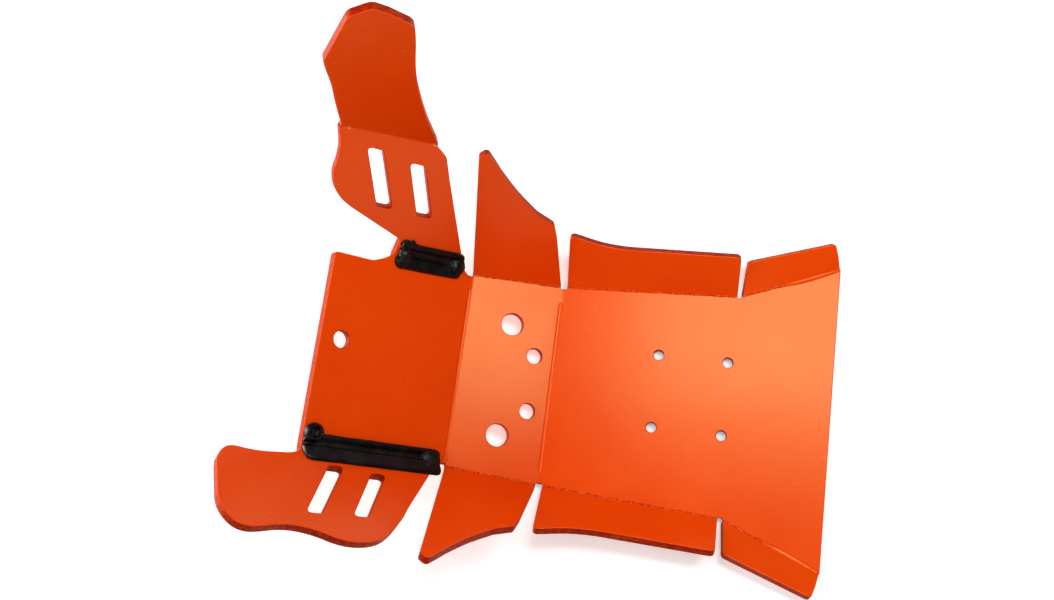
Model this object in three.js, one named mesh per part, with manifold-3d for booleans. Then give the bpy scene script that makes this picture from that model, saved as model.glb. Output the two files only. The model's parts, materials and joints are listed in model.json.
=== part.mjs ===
// Folded plastic skid plate. Millimetres, +X to the rear, +Y to the right, +Z up.
// The floor's underside lies on Z = 0 and the inside faces look up.
// The plate is one routed sheet, folded along hot-grooved lines; each flat panel between
// two folds is one named mesh, mitred on the plane that halves its fold.
import * as THREE from "three";
import { mergeVertices } from "three/addons/utils/BufferGeometryUtils.js";
import Module from "manifold-3d";

// Sheet and clearances
const SHEET = 8;
const GAP = 0.3;
const DEG = Math.PI / 180;

// Three main panels, front to rear
const FRONT_LENGTH = 152.6;
const STRIP_LENGTH = 93.2;
const FLOOR_LENGTH = 275.5;
const FRONT_FOLD = 23.5 * DEG;
const STRIP_FOLD = 19 * DEG;

// Half widths of the folded tray
const HALF_AT_FRONT_FOLD = 96;
const HALF_AT_STRIP_FOLD = 100.5;
const HALF_AT_REAR_NOTCH = 110.3;
const HALF_AT_REAR_EDGE = 149.3;
const FLARE_START = 179.5;
const FRONT_HALF_RIGHT = 79;

// Ear hinges on the front panel: distance out from the tray's side, slant and span
const RIGHT_HINGE_OUT = 5;
const RIGHT_HINGE_TAPER = 0.095;
const RIGHT_EAR_START = 12;
const RIGHT_EAR_END = 92;
const LEFT_HINGE_OUT = -0.7;
const LEFT_HINGE_FLARE = 0.047;
const LEFT_EAR_START = 10;

// Side flange angles, measured up from the panel each one is folded from
const FIN_FOLD = 53.5 * DEG;
const MID_FOLD = 45 * DEG;
const REAR_FOLD = 26 * DEG;
const EAR_FOLD = 42 * DEG;
const LOBE_FOLD = 28 * DEG;

// Flange heights
const FIN_HEIGHT = 144;
const FIN_REAR_HEIGHT = 75.5;
const MID_HEIGHT = 59.6;
const MID_LOW_HEIGHT = 46.8;
const REAR_HEIGHT = 32.4;
const REAR_LOW_HEIGHT = 26.9;

// Round-bottomed notches between neighbouring flanges
const EAR_NOTCH = 10.5;
const FIN_START = 0.8;
const FIN_END_CLEARANCE = 1.4;
const MID_START = 5.2;
const MID_END_CLEARANCE = 3.1;
const REAR_START = 2.6;
const NOTCH_DIP = 1.6;

// Relief grooves routed along the two cross folds
const GROOVE_WIDTH = 3.6;
const GROOVE_DEPTH = 1.3;
const STRIP_GROOVE = { margin: 13.5, offset: -2 };
const FRONT_GROOVE = { margin: 8.6, offset: -5 };

// Holes
const FLOOR_HOLE_RADIUS = 5;
const FLOOR_HOLE_X = [104.5, 172.8];
const FLOOR_HOLE_HALF_PITCH = 36.4;
const FLOOR_HOLE_OFFSET = 5.7;
const LARGE_HOLE_RADIUS = 11;
const LARGE_HOLE_X = 46.2;
const LARGE_HOLE_HALF_PITCH = 55.9;
const SMALL_HOLE_RADIUS = 7.7;
const SMALL_HOLE_X = 19.4;
const SMALL_HOLE_HALF_PITCH = 27.9;
const STRIP_HOLE_OFFSET = -2.5;
const FRONT_HOLE_RADIUS = 8;
const FRONT_HOLE_EDGE = 21.9;

// Slanted slots in the ears
const SLOT_LEAN = 0.62;
const SLOT_CORNER = 3.5;
const RIGHT_SLOT_WIDTH = 16.2;
const LEFT_SLOT_WIDTH = 14.4;
const SLOT_PITCH = 43.5;

// Weld beads and fused seams
const BEAD_FRONT_LEG = 15;
const BEAD_EAR_LEG = 16;
const BEAD_WALL = 3.6;
const BEAD_RIDGE = 6;
const BEAD_BLOB_RADIUS = 8.5;
const SEAM_LEG = 2.2;

const wasm = await Module();
wasm.setup();
const root = new THREE.Group();
root.name = "skid_plate";

// A flat panel's own frame: x along its fold, y away from it, z out of its inside face.
class Frame {
  constructor(origin, along, out) {
    this.origin = origin;
    this.along = along.clone().normalize();
    this.normal = this.along.clone().cross(out).normalize();
    this.out = this.normal.clone().cross(this.along);
  }

  // The point at (x, y) on the inside face, or z above it.
  at(x, y, z = 0) {
    return this.origin
      .clone()
      .addScaledVector(this.along, x)
      .addScaledVector(this.out, y)
      .addScaledVector(this.normal, z);
  }

  get matrix() {
    const turned = new THREE.Matrix4().makeBasis(this.along, this.out, this.normal);
    return turned.setPosition(this.origin);
  }
}

// A fold: the hinge line on the parent panel, and the frame of the panel folded up from it.
class Fold {
  constructor(parent, from, to, angle, side) {
    this.start = parent.at(...from);
    this.end = parent.at(...to);
    this.parent = parent;
    this.angle = angle;
    this.length = this.start.distanceTo(this.end);
    this.hinge = this.end.clone().sub(this.start).normalize();
    this.outward = parent.normal.clone().cross(this.hinge);
    this.sign = Math.sign(this.outward.dot(parent.out) * side);
    this.outward.multiplyScalar(this.sign);
    const rise = this.outward.clone().multiplyScalar(Math.cos(angle));
    rise.addScaledVector(parent.normal, Math.sin(angle));
    this.frame = new Frame(this.start, this.hinge.clone().multiplyScalar(this.sign), rise);
    this.mitre = parent.normal.clone().add(this.frame.normal).normalize();
    this.mitreNormal = this.hinge.clone().cross(this.mitre).normalize();
    if (this.mitreNormal.dot(this.outward) < 0) this.mitreNormal.negate();
  }

  // How far a panel reaches past the hinge line on its outer face.
  get overhang() {
    return SHEET * Math.tan(this.angle / 2) + 1;
  }

  // The point s along the hinge, as flat coordinates of the parent panel.
  onParent(s, outBy = 0) {
    const point = this.start.clone().addScaledVector(this.hinge, s);
    point.addScaledVector(this.outward, outBy).sub(this.parent.origin);
    return [point.dot(this.parent.along), point.dot(this.parent.out)];
  }

  // Keeps the folded-up side of a panel.
  trimChild(solid) {
    const offset = this.mitreNormal.dot(this.start) + GAP / 2;
    return solid.trimByPlane(this.mitreNormal.toArray(), offset);
  }

  // Takes the folded-up side off the parent panel, between s = from and s = to only.
  trimParent(solid, from, to) {
    const reach = 5 * SHEET;
    const middle = this.start.clone().addScaledVector(this.hinge, (from + to) / 2);
    middle.addScaledVector(this.mitreNormal, reach / 2 - GAP / 2);
    const box = new THREE.BoxGeometry(to - from + 4, reach, reach);
    const basis = new THREE.Matrix4();
    basis.makeBasis(this.hinge, this.mitreNormal, this.hinge.clone().cross(this.mitreNormal));
    return solid.subtract(toSolid(box, basis.setPosition(middle)));
  }
}

// A geometry, moved by a matrix, as a manifold solid.
function toSolid(geometry, matrix = new THREE.Matrix4()) {
  const plain = geometry.index ? geometry.toNonIndexed() : geometry;
  const bare = new THREE.BufferGeometry();
  bare.setAttribute("position", plain.getAttribute("position").clone());
  bare.applyMatrix4(matrix);
  const merged = mergeVertices(bare, 1e-4);
  const mesh = new wasm.Mesh({
    numProp: 3,
    vertProperties: merged.attributes.position.array,
    triVerts: new Uint32Array(merged.index.array),
  });
  return new wasm.Manifold(mesh);
}

// Adds a solid to the part as a named mesh with its own material.
function addNode(name, solid, colour) {
  const mesh = solid.getMesh();
  const geometry = new THREE.BufferGeometry();
  geometry.setAttribute("position", new THREE.BufferAttribute(mesh.vertProperties, 3));
  geometry.setIndex(new THREE.BufferAttribute(mesh.triVerts, 1));
  geometry.computeVertexNormals();
  const material = new THREE.MeshStandardMaterial({ color: colour, roughness: 0.45 });
  const node = new THREE.Mesh(geometry, material);
  node.name = name;
  root.add(node);
}

const ORANGE = 0xf0520a;
const BLACK = 0x141414;

// Points of an outline with each [x, y, radius] corner rounded.
function roundCorners(points, steps = 6) {
  const count = points.length;
  const rounded = points.map(([x, y, radius], i) => {
    const here = new THREE.Vector2(x, y);
    if (!radius) return [here];
    const [px, py] = points[(i + count - 1) % count];
    const [nx, ny] = points[(i + 1) % count];
    const back = new THREE.Vector2(px - x, py - y).normalize();
    const ahead = new THREE.Vector2(nx - x, ny - y).normalize();
    const half = Math.acos(THREE.MathUtils.clamp(back.dot(ahead), -1, 1)) / 2;
    const reach = radius / Math.tan(half);
    const curve = new THREE.QuadraticBezierCurve(
      here.clone().addScaledVector(back, reach),
      here,
      here.clone().addScaledVector(ahead, reach),
    );
    return curve.getPoints(steps);
  });
  return rounded.flat();
}

// Points of a smooth curve through the given ones, both ends included.
function smooth(points, steps) {
  const curve = new THREE.SplineCurve(points.map(([x, y]) => new THREE.Vector2(x, y)));
  return curve.getPoints(steps).map((p) => [p.x, p.y]);
}

// A round-bottomed dip between two points of an outline, towards the panel's middle.
function notchBottom([ax, ay], [bx, by], dip, steps = 6) {
  const points = [];
  for (let i = 0; i <= steps; i++) {
    const share = i / steps;
    const depth = dip * Math.sin(share * Math.PI);
    const y = ay + (by - ay) * share;
    points.push([ax + (bx - ax) * share, y - Math.sign(y) * depth]);
  }
  return points;
}

// A sheet panel: its inside face in the frame's plane and its thickness behind it.
function sheetPanel(frame, outline, holes = []) {
  const shape = new THREE.Shape(roundCorners(outline));
  shape.holes = holes.map((points) => new THREE.Path(points));
  const geometry = new THREE.ExtrudeGeometry(shape, { depth: SHEET, bevelEnabled: false });
  geometry.translate(0, 0, -SHEET);
  return toSolid(geometry, frame.matrix);
}

// A flange's outline: its s values run along the hinge whichever way the frame's x does.
function hinged(fold, outline) {
  return outline.map(([s, v, radius]) => [fold.sign * s, v, radius]);
}

function circle(x, y, radius, steps = 40) {
  const points = [];
  for (let i = 0; i < steps; i++) {
    const turn = (i / steps) * 2 * Math.PI;
    points.push(new THREE.Vector2(x + radius * Math.cos(turn), y + radius * Math.sin(turn)));
  }
  return points;
}

// The four edge points of a tab that reaches past a hinge line, where a flange is folded up.
function tab(fold, from, to) {
  const reach = fold.overhang;
  return [
    fold.onParent(from),
    fold.onParent(from, reach),
    fold.onParent(to, reach),
    fold.onParent(to),
  ];
}

// Main panel frames
const X = new THREE.Vector3(1, 0, 0);
const Y = new THREE.Vector3(0, 1, 0);
const stripFoldPoint = new THREE.Vector3(-FLOOR_LENGTH / 2, 0, SHEET);
const floorFrame = new Frame(stripFoldPoint, X, Y);
const stripAlong = X.clone().applyAxisAngle(Y, STRIP_FOLD);
const stripFrame = new Frame(stripFoldPoint, stripAlong, Y);
const frontFoldPoint = stripFrame.at(-STRIP_LENGTH, 0);
const frontAlong = X.clone().applyAxisAngle(Y, STRIP_FOLD + FRONT_FOLD);
const frontFrame = new Frame(frontFoldPoint, frontAlong, Y);

// The plane that halves a cross fold, as [normal towards the rear, offset].
function crossMitre(point, front, rear) {
  const halving = front.normal.clone().add(rear.normal).normalize();
  const normal = Y.clone().cross(halving).normalize();
  return { normal, offset: normal.dot(point) };
}

function keepRear(solid, mitre) {
  return solid.trimByPlane(mitre.normal.toArray(), mitre.offset + GAP / 2);
}

function keepFront(solid, mitre) {
  return solid.trimByPlane(mitre.normal.clone().negate().toArray(), GAP / 2 - mitre.offset);
}

// A relief groove with rounded ends, along a cross fold of the given half width.
function groove(frame, x, halfWidth, { margin, offset }) {
  const half = halfWidth - margin;
  const r = GROOVE_WIDTH / 2;
  const shape = new THREE.Shape();
  shape.absarc(x, offset + half, r, 0, Math.PI);
  shape.absarc(x, offset - half, r, Math.PI, 2 * Math.PI);
  const options = { depth: 3 * GROOVE_DEPTH, bevelEnabled: false, curveSegments: 8 };
  const geometry = new THREE.ExtrudeGeometry(shape, options);
  geometry.translate(0, 0, -GROOVE_DEPTH);
  return toSolid(geometry, frame.matrix);
}

const stripMitre = crossMitre(stripFoldPoint, stripFrame, floorFrame);
const frontMitre = crossMitre(frontFoldPoint, frontFrame, stripFrame);
const CROSS_OVERHANG = SHEET * Math.tan(FRONT_FOLD / 2) + 1;

// Mirrors a right-hand outline piece to the side wanted (+1 right, -1 left).
const toSide = (points, side) => points.map(([x, y, r]) => [x, side * y, r]);

// Folds of one side of the tray: fin, mid flange and rear flange.
function trayFolds(side) {
  const hingePoints = [
    [-STRIP_LENGTH, HALF_AT_FRONT_FOLD],
    [0, HALF_AT_STRIP_FOLD],
    [FLARE_START, HALF_AT_REAR_NOTCH],
    [FLOOR_LENGTH, HALF_AT_REAR_EDGE],
  ];
  const [a, b, c, d] = toSide(hingePoints, side);
  return {
    fin: new Fold(stripFrame, a, b, FIN_FOLD, side),
    mid: new Fold(floorFrame, b, c, MID_FOLD, side),
    rear: new Fold(floorFrame, c, d, REAR_FOLD, side),
  };
}

const folds = { right: trayFolds(1), left: trayFolds(-1) };

// Each ear's hinge runs forward on the front panel from the front cross fold.
const rightHingeHalf = HALF_AT_FRONT_FOLD + RIGHT_HINGE_OUT;
const leftHingeHalf = HALF_AT_FRONT_FOLD + LEFT_HINGE_OUT;
const earHinges = {
  right: {
    from: [0, rightHingeHalf],
    to: [-100, rightHingeHalf - 100 * RIGHT_HINGE_TAPER],
    start: RIGHT_EAR_START,
    end: RIGHT_EAR_END,
  },
  left: {
    from: [0, -leftHingeHalf],
    to: [-100, -leftHingeHalf - 100 * LEFT_HINGE_FLARE],
    start: LEFT_EAR_START,
    end: FRONT_LENGTH,
  },
};
const earFolds = {
  right: new Fold(frontFrame, earHinges.right.from, earHinges.right.to, EAR_FOLD, 1),
  left: new Fold(frontFrame, earHinges.left.from, earHinges.left.to, EAR_FOLD, -1),
};

// Where each tray flange starts and ends along its own hinge.
function span(kind, fold) {
  if (kind === "fin") return [FIN_START, fold.length - FIN_END_CLEARANCE];
  if (kind === "mid") return [MID_START, fold.length - MID_END_CLEARANCE];
  return [REAR_START, fold.length];
}

// One side edge of the floor, from the cross fold to the rear edge.
function floorEdge(side) {
  const { mid, rear } = folds[side > 0 ? "right" : "left"];
  const midTab = tab(mid, ...span("mid", mid));
  const rearTab = tab(rear, ...span("rear", rear));
  const corner = mid.onParent(0);
  return [
    [-CROSS_OVERHANG, corner[1] - side * NOTCH_DIP],
    [MID_START - 3, corner[1] - side * NOTCH_DIP],
    ...midTab,
    ...notchBottom(midTab[3], rearTab[0], NOTCH_DIP).slice(1, -1),
    ...rearTab,
  ];
}

function buildFloor() {
  const right = floorEdge(1);
  const left = floorEdge(-1);
  const holes = FLOOR_HOLE_X.flatMap((x) =>
    [1, -1].map((side) =>
      circle(x, FLOOR_HOLE_OFFSET + side * FLOOR_HOLE_HALF_PITCH, FLOOR_HOLE_RADIUS),
    ),
  );
  let solid = sheetPanel(floorFrame, [...left, ...right.reverse()], holes);
  solid = keepRear(solid, stripMitre);
  for (const side of [folds.right, folds.left]) {
    solid = side.mid.trimParent(solid, ...span("mid", side.mid));
    solid = side.rear.trimParent(solid, ...span("rear", side.rear));
  }
  return solid.subtract(groove(floorFrame, 0, HALF_AT_STRIP_FOLD, STRIP_GROOVE));
}

// One side edge of the strip between the two cross folds, front to rear.
function stripEdge(side) {
  const { fin } = folds[side > 0 ? "right" : "left"];
  const finTab = tab(fin, ...span("fin", fin));
  const front = HALF_AT_FRONT_FOLD - NOTCH_DIP;
  const rear = HALF_AT_STRIP_FOLD - NOTCH_DIP;
  return [
    [-STRIP_LENGTH - CROSS_OVERHANG, side * front],
    ...finTab,
    [-0.3, side * rear],
    [CROSS_OVERHANG, side * rear],
  ];
}

function buildStrip() {
  const holes = [1, -1].flatMap((side) => [
    circle(-LARGE_HOLE_X, STRIP_HOLE_OFFSET + side * LARGE_HOLE_HALF_PITCH, LARGE_HOLE_RADIUS),
    circle(-SMALL_HOLE_X, STRIP_HOLE_OFFSET + side * SMALL_HOLE_HALF_PITCH, SMALL_HOLE_RADIUS),
  ]);
  let solid = sheetPanel(stripFrame, [...stripEdge(-1), ...stripEdge(1).reverse()], holes);
  solid = keepFront(keepRear(solid, frontMitre), stripMitre);
  for (const side of [folds.right, folds.left]) {
    solid = side.fin.trimParent(solid, ...span("fin", side.fin));
  }
  solid = solid.subtract(groove(stripFrame, 0, HALF_AT_STRIP_FOLD, STRIP_GROOVE));
  return solid.subtract(groove(stripFrame, -STRIP_LENGTH, HALF_AT_FRONT_FOLD, FRONT_GROOVE));
}

function buildFront() {
  const { right, left } = earHinges;
  const rightTab = tab(earFolds.right, right.start, right.end);
  const leftTab = tab(earFolds.left, left.start, earFolds.left.length + 60);
  const leftTabEnd = leftTab.map(([x, y]) => [Math.max(x, -FRONT_LENGTH), y]);
  const halfAtFold = HALF_AT_FRONT_FOLD - NOTCH_DIP;
  const outline = [
    [CROSS_OVERHANG, -halfAtFold],
    [-EAR_NOTCH / 2, -halfAtFold, 4],
    ...leftTabEnd,
    [-FRONT_LENGTH, FRONT_HALF_RIGHT, 5],
    [-112, FRONT_HALF_RIGHT + 1.9, 14],
    [-99, FRONT_HALF_RIGHT + 8, 10],
    ...rightTab.reverse(),
    [-EAR_NOTCH / 2, halfAtFold, 4],
    [CROSS_OVERHANG, halfAtFold],
  ];
  const hole = circle(FRONT_HOLE_EDGE - FRONT_LENGTH, 0, FRONT_HOLE_RADIUS);
  let solid = keepFront(sheetPanel(frontFrame, outline, [hole]), frontMitre);
  solid = earFolds.right.trimParent(solid, right.start, right.end);
  solid = earFolds.left.trimParent(solid, left.start, left.end + 20);
  return solid.subtract(groove(frontFrame, 0, HALF_AT_FRONT_FOLD, FRONT_GROOVE));
}

// Fin: a tall triangle whose sloping edge is hollowed.
function finOutline(fold) {
  const [start, end] = span("fin", fold);
  const low = -fold.overhang;
  return [
    [start, low],
    [start - 0.5, 1],
    [start - 25.2, FIN_HEIGHT - 4.5, 4],
    [start - 18.5, FIN_HEIGHT + 3, 5],
    [start - 8, FIN_HEIGHT - 9],
    ...smooth(
      [
        [start, FIN_HEIGHT - 18.5],
        [start + 21, FIN_HEIGHT - 39.5],
        [start + 45, FIN_HEIGHT - 59],
      ],
      8,
    ),
    [end - 27, FIN_REAR_HEIGHT, 6],
    [end - 20, FIN_REAR_HEIGHT - 16],
    [end, 1],
    [end, low],
  ];
}

// Mid flange: high at its front corner, then dipping to a long level edge.
function midOutline(fold) {
  const [start, end] = span("mid", fold);
  const low = -fold.overhang;
  return [
    [start, low],
    [start, 1],
    [start + 1.8, MID_HEIGHT + 1, 5],
    ...smooth(
      [
        [start + 12, MID_HEIGHT - 2],
        [start + 34, MID_HEIGHT - 8.6],
        [start + 56, MID_HEIGHT - 12],
        [start + 78, MID_LOW_HEIGHT],
      ],
      12,
    ),
    [end, MID_LOW_HEIGHT - 1.8, 5],
    [end, 1],
    [end, low],
  ];
}

// Rear flange: a low strip on the flared rear part of the floor.
function rearOutline(fold) {
  const [start, end] = span("rear", fold);
  const low = -fold.overhang;
  return [
    [start, low],
    [start, 0.5],
    [start + 13.2, REAR_HEIGHT, 5],
    [end + 1, REAR_LOW_HEIGHT, 4],
    [end + 0.8, REAR_LOW_HEIGHT / 2],
    [end - 0.6, 0.5],
    [end - 0.6, low],
  ];
}

// A slanted slot with ends parallel to the ear's hinge and rounded corners.
function slot(sign, s, low, high, width) {
  const ends = [
    [s, low],
    [s + (high - low) * SLOT_LEAN, high],
  ];
  const [[s0, v0], [s1, v1]] = ends;
  const half = width / 2;
  const corners = [
    [sign * (s0 - half), v0, SLOT_CORNER],
    [sign * (s0 + half), v0, SLOT_CORNER],
    [sign * (s1 + half), v1, SLOT_CORNER],
    [sign * (s1 - half), v1, SLOT_CORNER],
  ];
  return roundCorners(corners, 5);
}

// Right ear: a leaning blade whose top is folded once more into a lobe.
const lobeHinge = { from: [199.7, 113], to: [100.5, 119.3] };

function rightEarOutline(fold) {
  const low = -fold.overhang;
  const { from, to } = lobeHinge;
  const over = 4;
  return [
    [RIGHT_EAR_START, low],
    [RIGHT_EAR_START, 0.5],
    [72.6, 88.7],
    [86.5, 110, 12],
    [to[0] - 0.4, to[1] + 0.2],
    [to[0] + 1, to[1] + over],
    [from[0] + 1, from[1] + over],
    [from[0], from[1]],
    ...smooth(
      [
        [196, 106],
        [190.5, 95],
        [186.8, 82.7],
        [185.2, 70],
        [181.5, 60],
        [175.5, 51.5],
        [166, 44],
        [154, 38.3],
      ],
      22,
    ),
    [RIGHT_EAR_END + 0.6, 16.3, 3],
    [RIGHT_EAR_END, 0.5],
    [RIGHT_EAR_END, low],
  ];
}

function lobeOutline() {
  const span = Math.hypot(lobeHinge.from[0] - lobeHinge.to[0], lobeHinge.from[1] - lobeHinge.to[1]);
  return [
    [0, -4],
    [0, 0],
    ...smooth(
      [
        [-7.5, 14],
        [-17.3, 30.8],
        [-28, 48],
        [-40, 64],
      ],
      8,
    ),
    [-46.4, 73.5, 6],
    [-50.5, 128, 10],
    [-37, 143.5, 10],
    [-22, 142.5, 10],
    [2, 137.5, 12],
    [9.5, 125, 8],
    ...smooth(
      [
        [14.5, 116],
        [22.5, 100.5],
        [31, 85.5],
        [42, 69],
        [55, 51.5],
        [70, 32.8],
        [86, 15],
        [span - 4, 5],
      ],
      18,
    ),
    [span, 0],
    [span, -4],
  ];
}

// Left ear: one flat blade that sweeps forward past the front panel.
function leftEarOutline(fold) {
  const low = -fold.overhang;
  const front = FRONT_LENGTH;
  return [
    [LEFT_EAR_START, low],
    [LEFT_EAR_START, 0.5],
    [58, 58],
    ...smooth(
      [
        [66, 68.8],
        [74, 77.5],
        [84, 87.5],
        [95, 95.8],
        [106, 100.2],
        [118, 102.2],
        [front - 22.6, 101.8],
        [front - 11.6, 99.3],
        [front + 0.4, 94.6],
        [front + 12.4, 91.2],
        [front + 25.4, 89.4],
        [front + 38.4, 90],
        [front + 53.4, 93],
        [front + 64.4, 94],
        [front + 74.4, 90.6],
        [front + 81.4, 82.5],
        [front + 85.4, 72],
        [front + 86, 62],
      ],
      54,
    ),
    [front + 81.9, 30],
    ...smooth(
      [
        [front + 80.2, 22],
        [front + 75.9, 14.5],
        [front + 70.4, 9.4],
        [front + 63.4, 7.3],
        [front + 50.4, 9],
        [front + 37.4, 9.6],
        [front + 23.4, 8.6],
        [front + 11.4, 7.4],
        [front + 3.4, 4.5],
      ],
      26,
    ),
    [front, 1],
    [front, low],
  ];
}

// A bar with the given cross-section along a fold's inside corner, from s = from to s = to.
// Section points are [inward-negative reach across the parent, height above it].
function cornerBar(fold, section, from, to) {
  const shape = new THREE.Shape(section.map(([p, q]) => new THREE.Vector2(p, q)));
  const geometry = new THREE.ExtrudeGeometry(shape, { depth: to - from, bevelEnabled: false });
  const up = fold.parent.normal;
  const run = fold.outward.clone().cross(up);
  const forward = run.dot(fold.hinge) > 0;
  const basis = new THREE.Matrix4().makeBasis(fold.outward, up, run);
  const startAt = forward ? from : to;
  basis.setPosition(fold.start.clone().addScaledVector(fold.hinge, startAt));
  return toSolid(geometry, basis);
}

// A section point v up the folded panel and h off its inside face.
function onFlange(angle, v, h) {
  return [
    v * Math.cos(angle) - h * Math.sin(angle),
    v * Math.sin(angle) + h * Math.cos(angle),
  ];
}

// Weld bead section: a wall off each face, a shallow trough and a ridge over the corner.
function beadSection(angle) {
  const corner = GAP / Math.cos(angle / 2);
  return [
    [-BEAD_FRONT_LEG, GAP],
    [-corner * Math.sin(angle / 2), GAP],
    onFlange(angle, BEAD_EAR_LEG, GAP),
    onFlange(angle, BEAD_EAR_LEG - 0.9, BEAD_WALL),
    onFlange(angle, 2.2, BEAD_RIDGE),
    [-6.5, BEAD_WALL + 0.5],
    [-10.5, BEAD_WALL + 0.4],
    [-BEAD_FRONT_LEG + 0.8, BEAD_WALL],
  ];
}

// Weld bead with a round blob at its front end, clear of both panels.
function weldBead(fold, from, to) {
  const bar = cornerBar(fold, beadSection(fold.angle), from, to);
  const ball = new THREE.SphereGeometry(BEAD_BLOB_RADIUS, 24, 12);
  const centre = fold.start.clone().addScaledVector(fold.hinge, to - 2);
  centre.addScaledVector(fold.outward, -6).addScaledVector(fold.parent.normal, 2.5);
  const blob = toSolid(ball, new THREE.Matrix4().setPosition(centre));
  const solid = bar.add(blob);
  const floor = fold.parent.normal;
  const above = solid.trimByPlane(floor.toArray(), floor.dot(fold.start) + GAP);
  const face = fold.frame.normal;
  return above.trimByPlane(face.toArray(), face.dot(fold.start) + GAP);
}

// Fused seam: the thin fillet that a hot-grooved fold squeezes into its inside corner.
function fusedSeam(fold, from, to) {
  const corner = GAP / Math.cos(fold.angle / 2);
  const section = [
    [-SEAM_LEG, GAP],
    [-corner * Math.sin(fold.angle / 2), GAP],
    onFlange(fold.angle, SEAM_LEG, GAP),
  ];
  return cornerBar(fold, section, from, to);
}

function addTrayFlanges(label) {
  const { fin, mid, rear } = folds[label];
  const flanges = [
    ["fin", fin, finOutline(fin)],
    ["mid", mid, midOutline(mid)],
    ["rear", rear, rearOutline(rear)],
  ];
  for (const [kind, fold, outline] of flanges) {
    const solid = fold.trimChild(sheetPanel(fold.frame, hinged(fold, outline)));
    addNode(`${kind}_flange_${label}`, solid, ORANGE);
    const [start, end] = span(kind, fold);
    addNode(`${kind}_seam_${label}`, fusedSeam(fold, start + 1, end - 1), ORANGE);
  }
}

function addRightEar() {
  const fold = earFolds.right;
  const { from, to } = lobeHinge;
  const lobeFold = new Fold(
    fold.frame,
    [fold.sign * from[0], from[1]],
    [fold.sign * to[0], to[1]],
    LOBE_FOLD,
    1,
  );
  const slots = [
    slot(fold.sign, 123.4, 46, 100, RIGHT_SLOT_WIDTH),
    slot(fold.sign, 123.4 - SLOT_PITCH, 45.3, 95.4, RIGHT_SLOT_WIDTH),
  ];
  const outline = hinged(fold, rightEarOutline(fold));
  let blade = fold.trimChild(sheetPanel(fold.frame, outline, slots));
  blade = lobeFold.trimParent(blade, -5, lobeFold.length + 5);
  addNode("ear_blade_right", blade, ORANGE);
  const lobe = sheetPanel(lobeFold.frame, hinged(lobeFold, lobeOutline()));
  addNode("ear_lobe_right", lobeFold.trimChild(lobe), ORANGE);
  addNode("weld_bead_right", weldBead(fold, RIGHT_EAR_START + 4, RIGHT_EAR_END - 6), BLACK);
}

function addLeftEar() {
  const fold = earFolds.left;
  const slots = [
    slot(fold.sign, 121, 18, 74, LEFT_SLOT_WIDTH),
    slot(fold.sign, 121 - SLOT_PITCH + 1.5, 22, 73.5, LEFT_SLOT_WIDTH),
  ];
  const outline = hinged(fold, leftEarOutline(fold));
  addNode("ear_blade_left", fold.trimChild(sheetPanel(fold.frame, outline, slots)), ORANGE);
  addNode("weld_bead_left", weldBead(fold, LEFT_EAR_START - 1, FRONT_LENGTH - 4.6), BLACK);
}

addNode("floor_panel", buildFloor(), ORANGE);
addNode("strip_panel", buildStrip(), ORANGE);
addNode("front_panel", buildFront(), ORANGE);
addTrayFlanges("right");
addTrayFlanges("left");
addRightEar();
addLeftEar();

export default root;
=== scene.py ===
"""Looks of a folded plastic skid plate for an off-road motorcycle.

The plate is one routed sheet of orange polyethylene, folded along hot grooves, with two
black weld beads along its ears.  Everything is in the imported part's frame: +X to the rear,
+Y to the right and +Z up, with the floor's underside on Z = 0.  Each panel is cut flat, in
millimetres, in a frame of its own, then folded up into place and brought to metres.
"""

import json
import logging
import math
from contextlib import contextmanager
from dataclasses import dataclass
from enum import Enum
from typing import Callable, Iterator, Sequence

import bmesh
import bpy
from mathutils import Matrix, Vector, noise

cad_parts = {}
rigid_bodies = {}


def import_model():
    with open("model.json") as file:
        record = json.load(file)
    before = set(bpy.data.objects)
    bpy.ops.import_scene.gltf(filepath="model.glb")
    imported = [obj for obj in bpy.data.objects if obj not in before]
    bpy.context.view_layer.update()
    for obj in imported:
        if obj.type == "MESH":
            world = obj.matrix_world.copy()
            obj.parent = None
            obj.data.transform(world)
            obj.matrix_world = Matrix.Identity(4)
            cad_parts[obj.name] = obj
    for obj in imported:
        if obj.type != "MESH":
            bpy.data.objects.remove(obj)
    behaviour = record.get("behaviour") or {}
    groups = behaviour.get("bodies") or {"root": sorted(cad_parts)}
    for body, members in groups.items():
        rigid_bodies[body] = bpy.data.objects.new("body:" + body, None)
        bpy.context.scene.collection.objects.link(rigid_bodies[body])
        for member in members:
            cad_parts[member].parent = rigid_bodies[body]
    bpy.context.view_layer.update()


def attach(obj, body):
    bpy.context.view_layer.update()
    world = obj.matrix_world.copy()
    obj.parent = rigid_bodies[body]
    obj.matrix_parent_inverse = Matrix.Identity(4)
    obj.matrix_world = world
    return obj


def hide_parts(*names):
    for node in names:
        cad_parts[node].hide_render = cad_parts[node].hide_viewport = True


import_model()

log = logging.getLogger("skid_plate")

MM = 0.001
DEG = math.pi / 180

# What counts as touching, what is merged, how far a cutter stands proud, and the points round a hole
NEAR = 0.02
MERGE = 0.0005
PROUD = 2.0
HOLE_POINTS = 48

# Sheet, and how its cut edges are rounded over
SHEET = 8.0
EDGE_ROUND = 1.0
HOLE_ROUND = 0.6

# How finely a fold turns, and what a softened inner corner leaves of the run-out past it
BEND_STEP = 4 * DEG
CORNER_MARGIN = 0.3

# Angles up to which the shading is smooth
SHEET_CREASE = 38 * DEG
SEAM_CREASE = 50 * DEG
BEAD_CREASE = 60 * DEG

# Main panels
FRONT_LENGTH = 152.6
STRIP_LENGTH = 93.2
FLOOR_LENGTH = 275.5
FRONT_FOLD = 23.5 * DEG
STRIP_FOLD = 19 * DEG
RUN_OUT = 4.6

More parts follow.
